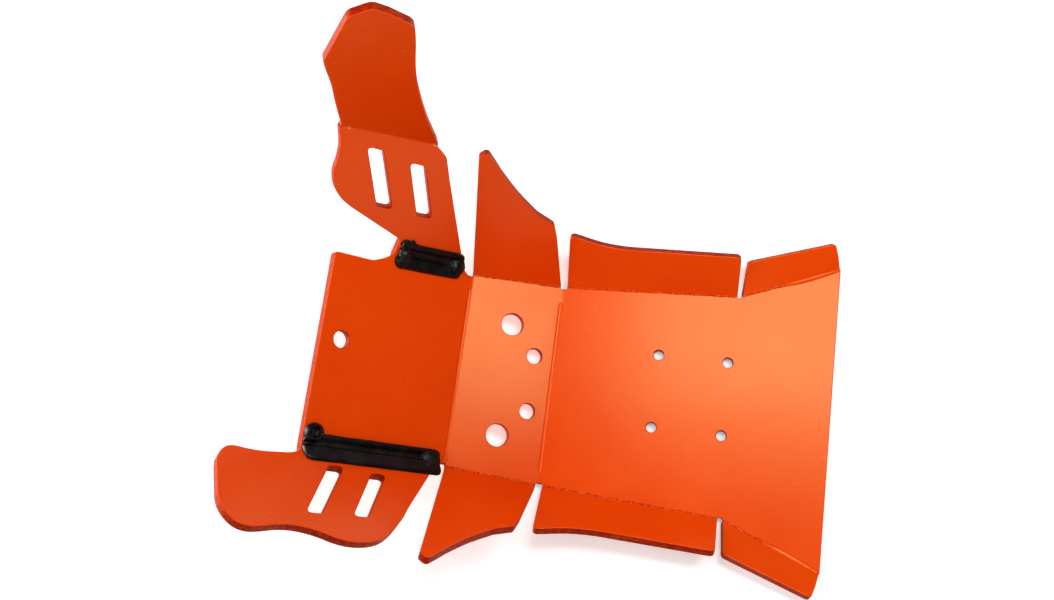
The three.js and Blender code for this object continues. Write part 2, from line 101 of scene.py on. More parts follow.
# Half widths of the tray
HALF_AT_FRONT_FOLD = 96.0
HALF_AT_STRIP_FOLD = 100.5
HALF_AT_REAR_NOTCH = 110.3
HALF_AT_REAR_EDGE = 149.3
FLARE_START = 179.5
NOTCH_DIP = 1.6

# Side fold angles
FIN_FOLD = 53.5 * DEG
MID_FOLD = 45 * DEG
REAR_FOLD = 26 * DEG
EAR_FOLD = 42 * DEG
LOBE_FOLD = 28 * DEG

Point = tuple[float, float]
Corner = tuple[float, float, float]
Strengths = tuple[float, float, float]
Outline = Sequence[Sequence[float]]
Opening = Callable[[float], list[Point]]
Hinge = tuple[Point, Point]
Colour = tuple[float, float, float, float]
Piece = bpy.types.Object
Tree = bpy.types.NodeTree
Socket = bpy.types.NodeSocket
Pattern = tuple[Socket, Socket, Socket]


class Side(Enum):
    """The two sides of the plate, as the sign of Y."""

    RIGHT = 1
    LEFT = -1

    @property
    def label(self) -> str:
        """The side's name as the part's nodes spell it."""
        return self.name.lower()


class Element(Enum):
    """What edit mode selects."""

    VERT = "VERT"
    EDGE = "EDGE"
    FACE = "FACE"


class Skin(Enum):
    """Material places on a sheet piece; only the pressed ones have a burr."""

    FACE = 0
    CUT = 1
    BURR = 2


# ---------------------------------------------------------------- frames and folds


@dataclass(frozen=True)
class Frame:
    """A flat panel's own frame: x along its fold, y away from it, z out of its inside face."""

    origin: Vector
    along: Vector
    out: Vector

    @property
    def normal(self) -> Vector:
        """The direction out of the inside face."""
        return self.along.cross(self.out)

    def at(self, x: float, y: float, z: float = 0.0) -> Vector:
        """The point at (x, y) on the inside face, or z above it."""
        return self.origin + self.along * x + self.out * y + self.normal * z

    def local(self, point: Vector) -> Vector:
        """A point of space in this frame's own coordinates."""
        offset = point - self.origin
        return Vector((offset.dot(self.along), offset.dot(self.out), offset.dot(self.normal)))

    @property
    def matrix(self) -> Matrix:
        """The move from this frame, in millimetres, to the part's frame, in metres."""
        columns = (self.along, self.out, self.normal, self.origin)
        rows = [[column[i] * MM for column in columns] for i in range(3)]
        return Matrix((*rows, (0, 0, 0, 1)))


class Fold:
    """A fold: its hinge line on the parent panel, and the frame of the panel folded up."""

    def __init__(self, parent: Frame, start: Point, end: Point, angle: float, side: int) -> None:
        """Work out the hinge and the folded frame.

        Args:
            parent: Frame of the panel that is folded from.
            start: Hinge start on the parent, in its flat coordinates.
            end: Hinge end on the parent.
            angle: Fold angle, in radians.
            side: +1 where the fold is on the parent's positive y side, -1 on the other.
        """
        self.parent = parent
        self.angle = angle
        self.start = parent.at(*start)
        self.end = parent.at(*end)
        self.length = (self.end - self.start).length
        self.hinge = (self.end - self.start).normalized()
        outward = parent.normal.cross(self.hinge)
        self.sign = 1 if outward.dot(parent.out) * side > 0 else -1
        self.outward = outward * self.sign
        rise = self.outward * math.cos(angle) + parent.normal * math.sin(angle)
        self.frame = Frame(self.start, self.hinge * self.sign, rise)

    def on_parent(self, s: float) -> Point:
        """The hinge point s along the fold, in the parent's flat coordinates."""
        point = self.parent.local(self.start + self.hinge * s)
        return (point.x, point.y)


def turned_about_y(direction: Vector, angle: float) -> Vector:
    """A direction turned about the part's Y axis."""
    return Matrix.Rotation(angle, 3, "Y") @ direction


X_AXIS = Vector((1, 0, 0))
Y_AXIS = Vector((0, 1, 0))
Z_AXIS = Vector((0, 0, 1))
ORIGIN = Vector((0, 0, 0))
STRIP_FOLD_POINT = Vector((-FLOOR_LENGTH / 2, 0, SHEET))
FLOOR = Frame(STRIP_FOLD_POINT, X_AXIS, Y_AXIS)
STRIP = Frame(STRIP_FOLD_POINT, turned_about_y(X_AXIS, STRIP_FOLD), Y_AXIS)
FRONT_FOLD_POINT = STRIP.at(-STRIP_LENGTH, 0)
FRONT = Frame(FRONT_FOLD_POINT, turned_about_y(X_AXIS, STRIP_FOLD + FRONT_FOLD), Y_AXIS)


# ---------------------------------------------------------------- outlines


def rounded(corners: Outline, steps: int = 6) -> list[Point]:
    """Round the corners of an outline that give a radius.

    Args:
        corners: Points (x, y) or (x, y, radius), in order round the outline.
        steps: Segments in each rounded corner.

    Returns:
        The outline's points.
    """
    points: list[Point] = []
    for i, corner in enumerate(corners):
        here = Vector(corner[:2])
        if len(corner) < 3 or not corner[2]:
            points.append((here.x, here.y))
            continue
        back = (Vector(corners[i - 1][:2]) - here).normalized()
        ahead = (Vector(corners[(i + 1) % len(corners)][:2]) - here).normalized()
        reach = corner[2] / math.tan(back.angle(ahead) / 2)
        first, last = here + back * reach, here + ahead * reach
        for k in range(steps + 1):
            t = k / steps
            p = first * (1 - t) ** 2 + here * (2 * t * (1 - t)) + last * t**2
            points.append((p.x, p.y))
    return points


def smooth(points: Sequence[Point], steps: int) -> list[Point]:
    """Points of a smooth curve through the given ones, both ends included.

    Args:
        points: Points that the curve passes through.
        steps: Segments in the whole curve.

    Returns:
        The curve's points.
    """
    knots = [Vector(p) for p in points]
    curve: list[Point] = []
    for k in range(steps + 1):
        place = (len(knots) - 1) * k / steps
        i = min(int(place), len(knots) - 2)
        t = place - i
        a, b, c, d = (knots[min(max(j, 0), len(knots) - 1)] for j in range(i - 1, i + 3))
        enter, leave = (c - a) / 2, (d - b) / 2
        p = (
            b * (2 * t**3 - 3 * t**2 + 1)
            + enter * (t**3 - 2 * t**2 + t)
            + c * (3 * t**2 - 2 * t**3)
            + leave * (t**3 - t**2)
        )
        curve.append((p.x, p.y))
    return curve


def curve(points: Sequence[Point], steps: int) -> list[Corner]:
    """A smooth stretch of an outline, as corners with no radius."""
    return [(s, v, 0) for s, v in smooth(points, steps)]


def dip_between(start: Point, end: Point, depth: float, steps: int = 6) -> list[Point]:
    """Points of a round-bottomed notch between two outline points, ends left out.

    Args:
        start: Outline point before the notch.
        end: Outline point after it.
        depth: How far the notch dips towards the panel's middle line.
        steps: Segments across the notch.

    Returns:
        The notch's points between its ends.
    """
    points: list[Point] = []
    for k in range(1, steps):
        share = k / steps
        y = start[1] + (end[1] - start[1]) * share
        dip = depth * math.sin(share * math.pi)
        points.append((start[0] + (end[0] - start[0]) * share, y - math.copysign(dip, y)))
    return points


def ring(x: float, y: float, z: float, radius: float, steps: int) -> list[Vector]:
    """A horizontal circle of points."""
    turns = (2 * math.pi * k / steps for k in range(steps))
    return [Vector((x + radius * math.cos(t), y + radius * math.sin(t), z)) for t in turns]


def on_segment(point: Vector, start: Point, end: Point) -> bool:
    """Whether a flat point lies on the line between two others."""
    a, b, p = Vector(start), Vector(end), Vector((point.x, point.y))
    run = b - a
    share = (p - a).dot(run) / run.length_squared
    return -0.01 < share < 1.01 and (a + run * share - p).length < NEAR


# ---------------------------------------------------------------- bench work


def deselect_everything() -> None:
    """Leave nothing selected."""
    if bpy.context.object and bpy.context.object.mode != "OBJECT":
        bpy.ops.object.mode_set(mode="OBJECT")
    bpy.ops.object.select_all(action="DESELECT")


def take(piece: Piece) -> None:
    """Make one piece the only selected and active one."""
    deselect_everything()
    piece.select_set(True)
    bpy.context.view_layer.objects.active = piece


@contextmanager
def editing(piece: Piece) -> Iterator[None]:
    """Edit mode on one piece, with everything selected at first."""
    take(piece)
    bpy.ops.object.mode_set(mode="EDIT")
    bpy.ops.mesh.select_mode(type=Element.VERT.value)
    bpy.ops.mesh.select_all(action="SELECT")
    yield
    bpy.ops.object.mode_set(mode="OBJECT")


def pick(piece: Piece, kind: Element, wanted: Callable) -> int:
    """Select only the elements that pass a test, in edit mode.

    Args:
        piece: The piece in edit mode.
        kind: Which elements are tested.
        wanted: The test, which is given each element.

    Returns:
        How many were selected.
    """
    bpy.ops.mesh.select_all(action="DESELECT")
    bpy.ops.mesh.select_mode(type=kind.value)
    shape = bmesh.from_edit_mesh(piece.data)
    elements = {Element.VERT: shape.verts, Element.EDGE: shape.edges, Element.FACE: shape.faces}
    chosen = [element for element in elements[kind] if wanted(element)]
    for element in chosen:
        element.select_set(True)
    bmesh.update_edit_mesh(piece.data)
    return len(chosen)


def blank(name: str, outline: Sequence[Vector]) -> Piece:
    """A flat blank: a filled circle whose points are moved onto an outline.

    Args:
        name: The piece's name.
        outline: The outline's points, in order.

    Returns:
        The new piece.
    """
    deselect_everything()
    bpy.ops.mesh.primitive_circle_add(vertices=len(outline), radius=1, fill_type="NGON")
    piece = bpy.context.object
    piece.name = name
    piece.data.name = name
    for vertex, place in zip(piece.data.vertices, outline):
        vertex.co = place
    return piece


def face_outwards(piece: Piece, merge: float = MERGE) -> None:
    """Merge doubled points and turn every face outwards."""
    with editing(piece):
        bpy.ops.mesh.remove_doubles(threshold=merge)
        bpy.ops.mesh.select_all(action="SELECT")
        bpy.ops.mesh.normals_make_consistent(inside=False)


def loft(name: str, rings: Sequence[Sequence[Vector]]) -> Piece:
    """A closed body through a stack of rings, each extruded from the last.

    Args:
        name: The piece's name.
        rings: Rings with the same number of points each.

    Returns:
        The new piece.
    """
    piece = blank(name, rings[0])
    layer = piece.data.attributes.new("place", "INT", "POINT")
    layer.data.foreach_set("value", list(range(len(rings[0]))))
    with editing(piece):
        for points in rings[1:]:
            bpy.ops.mesh.extrude_region_move()
            shape = bmesh.from_edit_mesh(piece.data)
            place = shape.verts.layers.int["place"]
            for vertex in (v for v in shape.verts if v.select):
                vertex.co = points[vertex[place]]
            bmesh.update_edit_mesh(piece.data)
    piece.data.attributes.remove(piece.data.attributes["place"])
    face_outwards(piece)
    return piece


def apply_modifier(piece: Piece, kind: str, **settings: object) -> None:
    """Add one modifier with the given settings and apply it."""
    take(piece)
    modifier = piece.modifiers.new(kind.lower(), kind)
    for key, value in settings.items():
        setattr(modifier, key, value)
    bpy.ops.object.modifier_apply(modifier=modifier.name)


def cut(piece: Piece, cutter: Piece) -> None:
    """Take a cutter's shape out of a piece and throw the cutter away."""
    apply_modifier(piece, "BOOLEAN", operation="DIFFERENCE", object=cutter, solver="EXACT")
    bpy.data.objects.remove(cutter)


def warp(piece: Piece, move: Callable[[Vector], Vector]) -> None:
    """Move every point of a piece."""
    for vertex in piece.data.vertices:
        vertex.co = move(vertex.co.copy())


# ---------------------------------------------------------------- finishes


class Nodes:
    """A node tree that is built a node at a time."""

    def __init__(self, tree: Tree) -> None:
        """Empty the tree."""
        self.tree = tree
        tree.nodes.clear()

    def add(self, kind: str, /, **inputs: object) -> bpy.types.Node:
        """Add a node and set its properties and sockets.

        Args:
            kind: The node's type, without the ShaderNode prefix.
            **inputs: Properties of the node, or sockets with spaces as underscores.

        Returns:
            The new node.
        """
        node = self.tree.nodes.new(kind if kind.startswith("Node") else f"ShaderNode{kind}")
        for key, value in inputs.items():
            if hasattr(node, key):
                setattr(node, key, value)
            else:
                self.plug(node, key.replace("_", " "), value)
        return node

    def plug(self, node: bpy.types.Node, socket: object, value: object) -> None:
        """Set a node's socket, by name or place, to a value or a link."""
        target = node.inputs[socket]
        if isinstance(value, Socket):
            self.tree.links.new(value, target)
        else:
            target.default_value = value

    def run(
        self, kind: str, places: Sequence[int], values: Sequence[object], output: int = 0, **settings: str
    ) -> Socket:
        """Add a node, fill some of its sockets and give one of its outputs.

        Args:
            kind: The node's type, without the ShaderNode prefix.
            places: Which sockets are filled.
            values: What goes into each, a value or a link.
            output: Which output is wanted.
            **settings: Properties of the node.

        Returns:
            The output.
        """
        node = self.add(kind, **settings)
        for place, value in zip(places, values):
            self.plug(node, place, value)
        return node.outputs[output]

    def math(self, operation: str, first: object, second: object) -> Socket:
        """The result of a sum of two values."""
        return self.run("Math", (0, 1), (first, second), operation=operation)

    def ramp(self, value: object, low: float, high: float, to: Point = (0.0, 1.0)) -> Socket:
        """A value brought from one range to another, clamped and eased."""
        values = (value, low, high, *to)
        return self.run("MapRange", range(5), values, interpolation_type="SMOOTHSTEP")

    def mix(self, share: object, first: object, second: object) -> Socket:
        """A colour between two others."""
        return self.run("Mix", (0, 6, 7), (share, first, second), 2, data_type="RGBA")

    def noise(self, vector: object, scale: object, detail: float, roughness: float = 0.55) -> Socket:
        """A noise value between about 0.2 and 0.8."""
        inputs = {"Vector": vector, "Scale": scale, "Detail": detail, "Roughness": roughness}
        return self.add("TexNoise", **inputs).outputs["Fac"]

    def stretched(self, vector: object, scale: Corner) -> Socket:
        """A vector scaled by its own amount on each axis."""
        return self.add("Mapping", Vector=vector, Scale=scale).outputs["Vector"]


def plastic_grain_group() -> Tree:
    """The grain of pressed polyethylene, with faint clouding and handling scuffs.

    Returns:
        A shader node group that puts out a clouding mask, a scuff mask and a height.
    """
    group = bpy.data.node_groups.new("plastic_grain", "ShaderNodeTree")
    group.interface.new_socket("Vector", in_out="INPUT", socket_type="NodeSocketVector")
    group.interface.new_socket("Grain", in_out="INPUT", socket_type="NodeSocketFloat")
    for key in ("Cloud", "Scuff", "Height"):
        group.interface.new_socket(key, in_out="OUTPUT", socket_type="NodeSocketFloat")
    nodes = Nodes(group)
    entry = nodes.add("NodeGroupInput").outputs
    vector = entry["Vector"]
    cloud = nodes.noise(vector, 9.0, 4.0)
    grain = nodes.noise(vector, entry["Grain"], 2.0)
    ripple = nodes.noise(vector, 55.0, 2.0)
    streaks = nodes.noise(nodes.stretched(vector, (40.0, 900.0, 400.0)), 1.0, 2.0)
    patches = nodes.noise(vector, 14.0, 2.0)
    scuff = nodes.math("MULTIPLY", nodes.ramp(streaks, 0.63, 0.72), nodes.ramp(patches, 0.5, 0.68))
    height = nodes.math("ADD", grain, nodes.math("MULTIPLY", ripple, 1.5))
    height = nodes.math("SUBTRACT", height, nodes.math("MULTIPLY", scuff, 0.3))
    nodes.add("NodeGroupOutput", Cloud=cloud, Scuff=scuff, Height=height)
    return group


@dataclass(frozen=True)
class Finish:
    """What every finish of the plate has; each kind adds the pattern of its surface."""

    name: str = ""
    sheen: Colour = (1.0, 1.0, 1.0, 1.0)
    roughness: Point = (0.3, 0.5)
    bump: float = 0.3
    depth: float = 0.0003
    ior: float = 1.5
    gloss: float = 0.5
    grain_scale: float = 900.0

    def pattern(self, nodes: Nodes, place: Socket, grain: bpy.types.NodeOutputs) -> Pattern:
        """Lay out what changes over the surface.

        Args:
            nodes: The material's nodes.
            place: Object coordinates.
            grain: Outputs of the shared grain effect.

        Returns:
            The colour, roughness and height.
        """
        raise NotImplementedError

    def build(self, group: Tree) -> bpy.types.Material:
        """Build the material.

        Args:
            group: The shared grain group.

        Returns:
            The material.
        """
        material = bpy.data.materials.new(self.name)
        material.use_nodes = True
        nodes = Nodes(material.node_tree)
        place = nodes.add("TexCoord").outputs["Object"]
        grain = nodes.add("Group", node_tree=group, Vector=place, Grain=self.grain_scale).outputs
        colour, rough, height = self.pattern(nodes, place, grain)
        bump = nodes.add("Bump", Strength=self.bump, Distance=self.depth, Height=height)
        shader = nodes.add("BsdfPrincipled", Base_Color=colour, Roughness=rough)
        nodes.plug(shader, "Normal", bump.outputs["Normal"])
        shader.inputs["IOR"].default_value = self.ior
        shader.inputs["Specular IOR Level"].default_value = self.gloss
        shader.inputs["Specular Tint"].default_value = self.sheen
        nodes.add("OutputMaterial", Surface=shader.outputs["BSDF"])
        return material


@dataclass(frozen=True)
class SheetFinish(Finish):
    """Satin pressed face of the orange sheet."""

    name: str = "orange_sheet_face"
    sheen: Colour = (1.0, 0.86, 0.36, 1.0)
    roughness: Point = (0.22, 0.28)
    bump: float = 0.10
    ior: float = 1.42
    colour: Colour = (0.87, 0.066, 0.0004, 1.0)
    deep: Colour = (0.83, 0.057, 0.0003, 1.0)
    scuffed: Colour = (0.92, 0.13, 0.01, 1.0)
    scuff_share: float = 0.08
    scuff_rough: float = 0.05

    def pattern(self, nodes: Nodes, place: Socket, grain: bpy.types.NodeOutputs) -> Pattern:
        """Faint clouds of a deeper orange, with a few pale scuffs."""
        cloud, scuff = grain["Cloud"], grain["Scuff"]
        colour = nodes.mix(nodes.ramp(cloud, 0.3, 0.7), self.deep, self.colour)
        colour = nodes.mix(nodes.math("MULTIPLY", scuff, self.scuff_share), colour, self.scuffed)
        rough = nodes.ramp(cloud, 0.25, 0.75, self.roughness)
        rough = nodes.math("ADD", rough, nodes.math("MULTIPLY", scuff, self.scuff_rough))
        return colour, rough, grain["Height"]


@dataclass(frozen=True)
class CutFinish(Finish):
    """Routed edge of the sheet: dull, its colour darkened as painted shade, with milky patches and fine
    cutter marks.
    """

    name: str = "orange_sheet_cut"
    sheen: Colour = (1.0, 0.6, 0.3, 1.0)
    roughness: Point = (0.40, 0.55)
    depth: float = 0.0002
    ior: float = 1.32
    gloss: float = 0.16
    # The edge's colour is darkened far below the face's orange: painted shade, for the edges turned away
    # from the lights.
    colour: Colour = (0.29, 0.005, 0.0004, 1.0)
    pale: Colour = (0.54, 0.062, 0.003, 1.0)

    def pattern(self, nodes: Nodes, place: Socket, grain: bpy.types.NodeOutputs) -> Pattern:
        """Cutter marks across the edge, which follow it by the sheet's flat coordinates."""
        flat = nodes.add("Attribute", attribute_name="flat").outputs["Vector"]
        marks = nodes.noise(nodes.stretched(flat, (1.3, 1.3, 0.08)), 1.0, 3.0)
        patches = nodes.noise(nodes.stretched(flat, (0.25, 0.25, 0.5)), 1.0, 2.0)
        streaks = nodes.ramp(marks, 0.3, 0.7, (0.25, 0.8))
        milky = nodes.math("MULTIPLY", nodes.ramp(patches, 0.35, 0.7), streaks)
        height = nodes.math("ADD", marks, nodes.math("MULTIPLY", grain["Height"], 0.2))
        rough = nodes.ramp(marks, 0.3, 0.7, self.roughness)
        return nodes.mix(milky, self.colour, self.pale), rough, height


@dataclass(frozen=True)
class FlashFinish(Finish):
    """Squeezed-out plastic of a fused fold: orange, crumbly, with pale stretched flecks."""

    name: str = "orange_fused_flash"
    sheen: Colour = (1.0, 0.7, 0.4, 1.0)
    roughness: Point = (0.35, 0.6)
    bump: float = 0.45
    depth: float = 0.0006
    gloss: float = 0.12
    colour: Colour = (0.80, 0.060, 0.001, 1.0)
    # Darker colour for the crumbs' hollows: painted shade.
    painted_pit_shade: Colour = (0.42, 0.009, 0.0004, 1.0)
    fleck: Colour = (0.94, 0.20, 0.06, 1.0)

    def pattern(self, nodes: Nodes, place: Socket, grain: bpy.types.NodeOutputs) -> Pattern:
        """Crumbs: pits darkened below as painted shade, and pale flecks on top."""
        crumbs = nodes.noise(place, 620.0, 3.0, 0.7)
        # The crumbs' low places take the darker pit colour: painted shade in the hollows.
        colour = nodes.mix(nodes.ramp(crumbs, 0.42, 0.50), self.painted_pit_shade, self.colour)
        colour = nodes.mix(nodes.ramp(crumbs, 0.56, 0.64), colour, self.fleck)
        height = nodes.math("ADD", crumbs, nodes.math("MULTIPLY", grain["Height"], 0.3))
        return colour, nodes.ramp(crumbs, 0.3, 0.7, self.roughness), height


PRESSED_BURR = FlashFinish(
    name="orange_pressed_burr",
    colour=(0.88, 0.22, 0.04, 1.0),
    # The burr's pits are darker too: painted shade in its hollows.
    painted_pit_shade=(0.75, 0.09, 0.01, 1.0),
    fleck=(0.97, 0.52, 0.22, 1.0),
)


@dataclass(frozen=True)
class WeldFinish(Finish):
    """Black extruded weld: glossy where it flowed, dull where it tore."""

    name: str = "black_weld_bead"
    roughness: Point = (0.30, 0.46)
    bump: float = 0.35
    depth: float = 0.0004
    gloss: float = 0.22
    grain_scale: float = 500.0
    colour: Colour = (0.0022, 0.0020, 0.0022, 1.0)
    dull: Colour = (0.0065, 0.0058, 0.0062, 1.0)

    def pattern(self, nodes: Nodes, place: Socket, grain: bpy.types.NodeOutputs) -> Pattern:
        """Duller patches, and drag lines along the bead."""
        drag = nodes.noise(nodes.stretched(place, (60.0, 700.0, 500.0)), 1.0, 3.0)
        tone = nodes.noise(place, 90.0, 3.0)
        colour = nodes.mix(nodes.ramp(tone, 0.4, 0.7), self.colour, self.dull)
        height = nodes.math("ADD", drag, nodes.math("MULTIPLY", grain["Height"], 0.35))
        return colour, nodes.ramp(tone, 0.35, 0.7, self.roughness), height


class Finishes:
    """Every finish of the plate, built once."""

    def __init__(self) -> None:
        """Build the shared effect and the five materials."""
        group = plastic_grain_group()
        self.face = SheetFinish().build(group)
        self.cut = CutFinish().build(group)
        self.flash = FlashFinish().build(group)
        self.burr = PRESSED_BURR.build(group)
        self.weld = WeldFinish().build(group)


def settle(piece: Piece, home: Frame, crease: float, node: str, flat: bool = False) -> Piece:
    """Carry a finished piece into place, shade it and ride it on the part.

    Args:
        piece: The finished piece, in its own frame.
        home: That frame.
        crease: Angle up to which the shading is smooth.
        node: The part's node that it stands for.
        flat: Whether its large flat faces decide the shading of its rims.

    Returns:
        The same piece.
    """
    take(piece)
    piece.matrix_world = home.matrix
    bpy.ops.object.transform_apply(location=True, rotation=True, scale=True)
    bpy.ops.object.shade_smooth_by_angle(angle=crease)
    if flat:
        apply_modifier(piece, "WEIGHTED_NORMAL", keep_sharp=True, weight=100)
    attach(piece, "root")
    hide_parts(node)
    log.info("%s: %d faces for node %s", piece.name, len(piece.data.polygons), node)
    return piece


# ---------------------------------------------------------------- sheet work


class SheetPiece:
    """One flat panel: routed to its outline, rounded over, drilled, folded up and placed."""

    def __init__(
        self, name: str, home: Frame, outline: Outline, finishes: Finishes, hinges: Sequence[Hinge]
    ) -> None:
        """Rout the panel and round its free edges.

        Args:
            name: The piece's name.
            home: The panel's frame.
            outline: Outline corners, in the panel's flat coordinates.
            finishes: The plate's finishes.
            hinges: Lines of the outline that a fold or a neighbouring panel joins.
        """
        self.home = home
        self.hinges = hinges
        self.piece = blank(name, [Vector((x, y, 0)) for x, y in rounded(outline)])
        for material in (finishes.face, finishes.cut):
            self.piece.data.materials.append(material)
        with editing(self.piece):
            bpy.ops.mesh.extrude_region_move(TRANSFORM_OT_translate={"value": (0, 0, -SHEET)})
            bpy.ops.mesh.select_all(action="SELECT")
            bpy.ops.mesh.normals_make_consistent(inside=False)
            pick(self.piece, Element.EDGE, self.is_free_rim)
            bpy.ops.mesh.bevel(offset=EDGE_ROUND, segments=3, affect="EDGES", clamp_overlap=False)
        for face in self.piece.data.polygons:
            face.material_index = (Skin.FACE if abs(face.normal.z) > 0.5 else Skin.CUT).value

    def is_free_rim(self, edge: bmesh.types.BMEdge) -> bool:
        """Whether an edge runs round a face of the sheet where nothing joins it."""
        first, second = (vertex.co for vertex in edge.verts)
        if abs(first.z - second.z) > NEAR:
            return False
        middle = (first + second) / 2
        return not any(on_segment(middle, *hinge) for hinge in self.hinges)

    def drill(self, x: float, y: float, radius: float) -> None:
        """Drill a hole with rounded rims."""
        self.rout(lambda grow: [(p.x, p.y) for p in ring(x, y, 0, radius + grow, HOLE_POINTS)])

    def rout(self, outline: Opening) -> None:
        """Rout an opening with rounded rims.

        Args:
            outline: Gives the opening's points, grown by a distance all round.
        """
        turns = [k / 3 * math.pi / 2 for k in range(4)]
        arcs = [(HOLE_ROUND * (1 - math.sin(t)), HOLE_ROUND * (1 - math.cos(t))) for t in turns]
        levels = [(HOLE_ROUND, PROUD), *((grow, -depth) for grow, depth in arcs)]
        levels += [(grow, depth - SHEET) for grow, depth in reversed(arcs)]
        levels.append((HOLE_ROUND, -SHEET - PROUD))
        rings = [[Vector((x, y, z)) for x, y in outline(grow)] for grow, z in levels]
        self.cut_with(loft("cutter", rings), Skin.CUT)

    def cut_with(self, cutter: Piece, skin: Skin) -> None:
        """Cut with a shape whose walls leave the given finish."""
        for material in self.piece.data.materials:
            cutter.data.materials.append(material)
        for face in cutter.data.polygons:
            face.material_index = skin.value
        cut(self.piece, cutter)

    def bend(self, place: Vector, away: Vector, angle: float, run_out: float = 0.0) -> None:
        """Turn the sheet up round a fold from one of its hinge walls.

        Args:
            place: A point of the hinge, in flat coordinates.
            away: The direction out of the hinge wall.
            angle: How far the sheet turns towards its inside face.
            run_out: Length of the straight sheet past the fold; with one, the corner is rounded.
        """
        axis = Z_AXIS.cross(away)
        steps = max(4, round(angle / BEND_STEP))

        def on_wall(vertex: bmesh.types.BMVert) -> bool:
            """Whether a point is on the hinge wall."""
            return abs((vertex.co - place).dot(away)) < NEAR

        def on_corner(edge: bmesh.types.BMEdge) -> bool:
            """Whether an edge is the fold's inner corner."""
            return all(abs(v.co.z) < NEAR and on_wall(v) for v in edge.verts)

        with editing(self.piece):
            pick(self.piece, Element.FACE, lambda face: all(on_wall(v) for v in face.verts))
            # Spin turns left-handed about its axis
            bpy.ops.mesh.spin(steps=steps, angle=angle, center=place, axis=axis)
            if run_out:
                onward = (away * math.cos(angle) + Z_AXIS * math.sin(angle)) * run_out
                bpy.ops.mesh.extrude_region_move(TRANSFORM_OT_translate={"value": onward})
            bpy.ops.mesh.select_all(action="SELECT")
            bpy.ops.mesh.remove_doubles(threshold=MERGE)
            if run_out:
                pick(self.piece, Element.EDGE, on_corner)
                offset = run_out - CORNER_MARGIN
                bpy.ops.mesh.bevel(offset=offset, segments=6, affect="EDGES", clamp_overlap=False)
        face_outwards(self.piece)
        for face in self.piece.data.polygons:
            if (face.center - place).dot(away) > NEAR:
                ends_the_fold = abs(face.normal.dot(axis)) > 0.2
                face.material_index = (Skin.CUT if ends_the_fold else Skin.FACE).value

    def place(self, node: str) -> Piece:
        """Note the panel's flat coordinates and set it on the part.

        Args:
            node: The part's node that it stands for.

        Returns:
            The finished piece.
        """
        piece = self.piece
        flat = piece.data.attributes.new("flat", "FLOAT_VECTOR", "POINT")
        flat.data.foreach_set("vector", [c for v in piece.data.vertices for c in v.co])
        return settle(piece, self.home, SHEET_CREASE, node, flat=True)


# ---------------------------------------------------------------- folds of the plate


HINGE_CORNERS = (
    (-STRIP_LENGTH, HALF_AT_FRONT_FOLD), (0.0, HALF_AT_STRIP_FOLD),
    (FLARE_START, HALF_AT_REAR_NOTCH), (FLOOR_LENGTH, HALF_AT_REAR_EDGE),
)


class TraySide:
    """The three side folds of one side of the tray, with where each flange starts and ends."""

    def __init__(self, side: Side) -> None:
        """Lay out the folds.

        Args:
            side: Which side of the plate.
        """
        self.side = side
        a, b, c, d = ((x, side.value * y) for x, y in HINGE_CORNERS)
        self.fin = Fold(STRIP, a, b, FIN_FOLD, side.value)
        self.mid = Fold(FLOOR, b, c, MID_FOLD, side.value)
        self.rear = Fold(FLOOR, c, d, REAR_FOLD, side.value)
        self.fin_span = (0.8, self.fin.length - 1.4)
        self.mid_span = (5.2, self.mid.length - 3.1)
        self.rear_span = (2.6, self.rear.length)

    @staticmethod
    def line(fold: Fold, span: Point) -> Hinge:
        """A flange's hinge line in its parent's flat coordinates."""
        return (fold.on_parent(span[0]), fold.on_parent(span[1]))


TRAY = {side: TraySide(side) for side in Side}


@dataclass(frozen=True)
class EarHinge:
    """Where an ear is folded from the front panel."""

    at_fold: float
    slant: float
    start: float
    end: float
    reach: float = 100.0

    def fold(self, side: Side) -> Fold:
        """The ear's fold on its side of the front panel."""
        far = (self.at_fold + self.reach * self.slant) * side.value
        return Fold(FRONT, (0, side.value * self.at_fold), (-self.reach, far), EAR_FOLD, side.value)


RIGHT_EAR = EarHinge(HALF_AT_FRONT_FOLD + 5, -0.095, 12, 92)
LEFT_EAR = EarHinge(HALF_AT_FRONT_FOLD - 0.7, 0.047, 10, FRONT_LENGTH)


def flange(
    name: str,
    fold: Fold,
    outline: Outline,
    finishes: Finishes,
    slots: Sequence["Slot"] = (),
    run_out: float = 0.0,
) -> SheetPiece:
    """A flange cut flat and carried round its fold, ready to place.

    Args:
        name: The piece's name.
        fold: Its fold.
        outline: Corners (s, v, radius): along the hinge and up the flange, hinge ends first.
        finishes: The plate's finishes.
        slots: Its slots.
        run_out: Length of the straight sheet past the fold.

    Returns:
        The flange.
    """
    corners = [(fold.sign * corner[0], *corner[1:]) for corner in outline]
    hinge = (corners[0][:2], corners[-1][:2])
    panel = SheetPiece(name, fold.frame, corners, finishes, [hinge])
    for slot in slots:
        slot.rout(panel, fold.sign)
    panel.bend(ORIGIN, -Y_AXIS, fold.angle, run_out)
    return panel


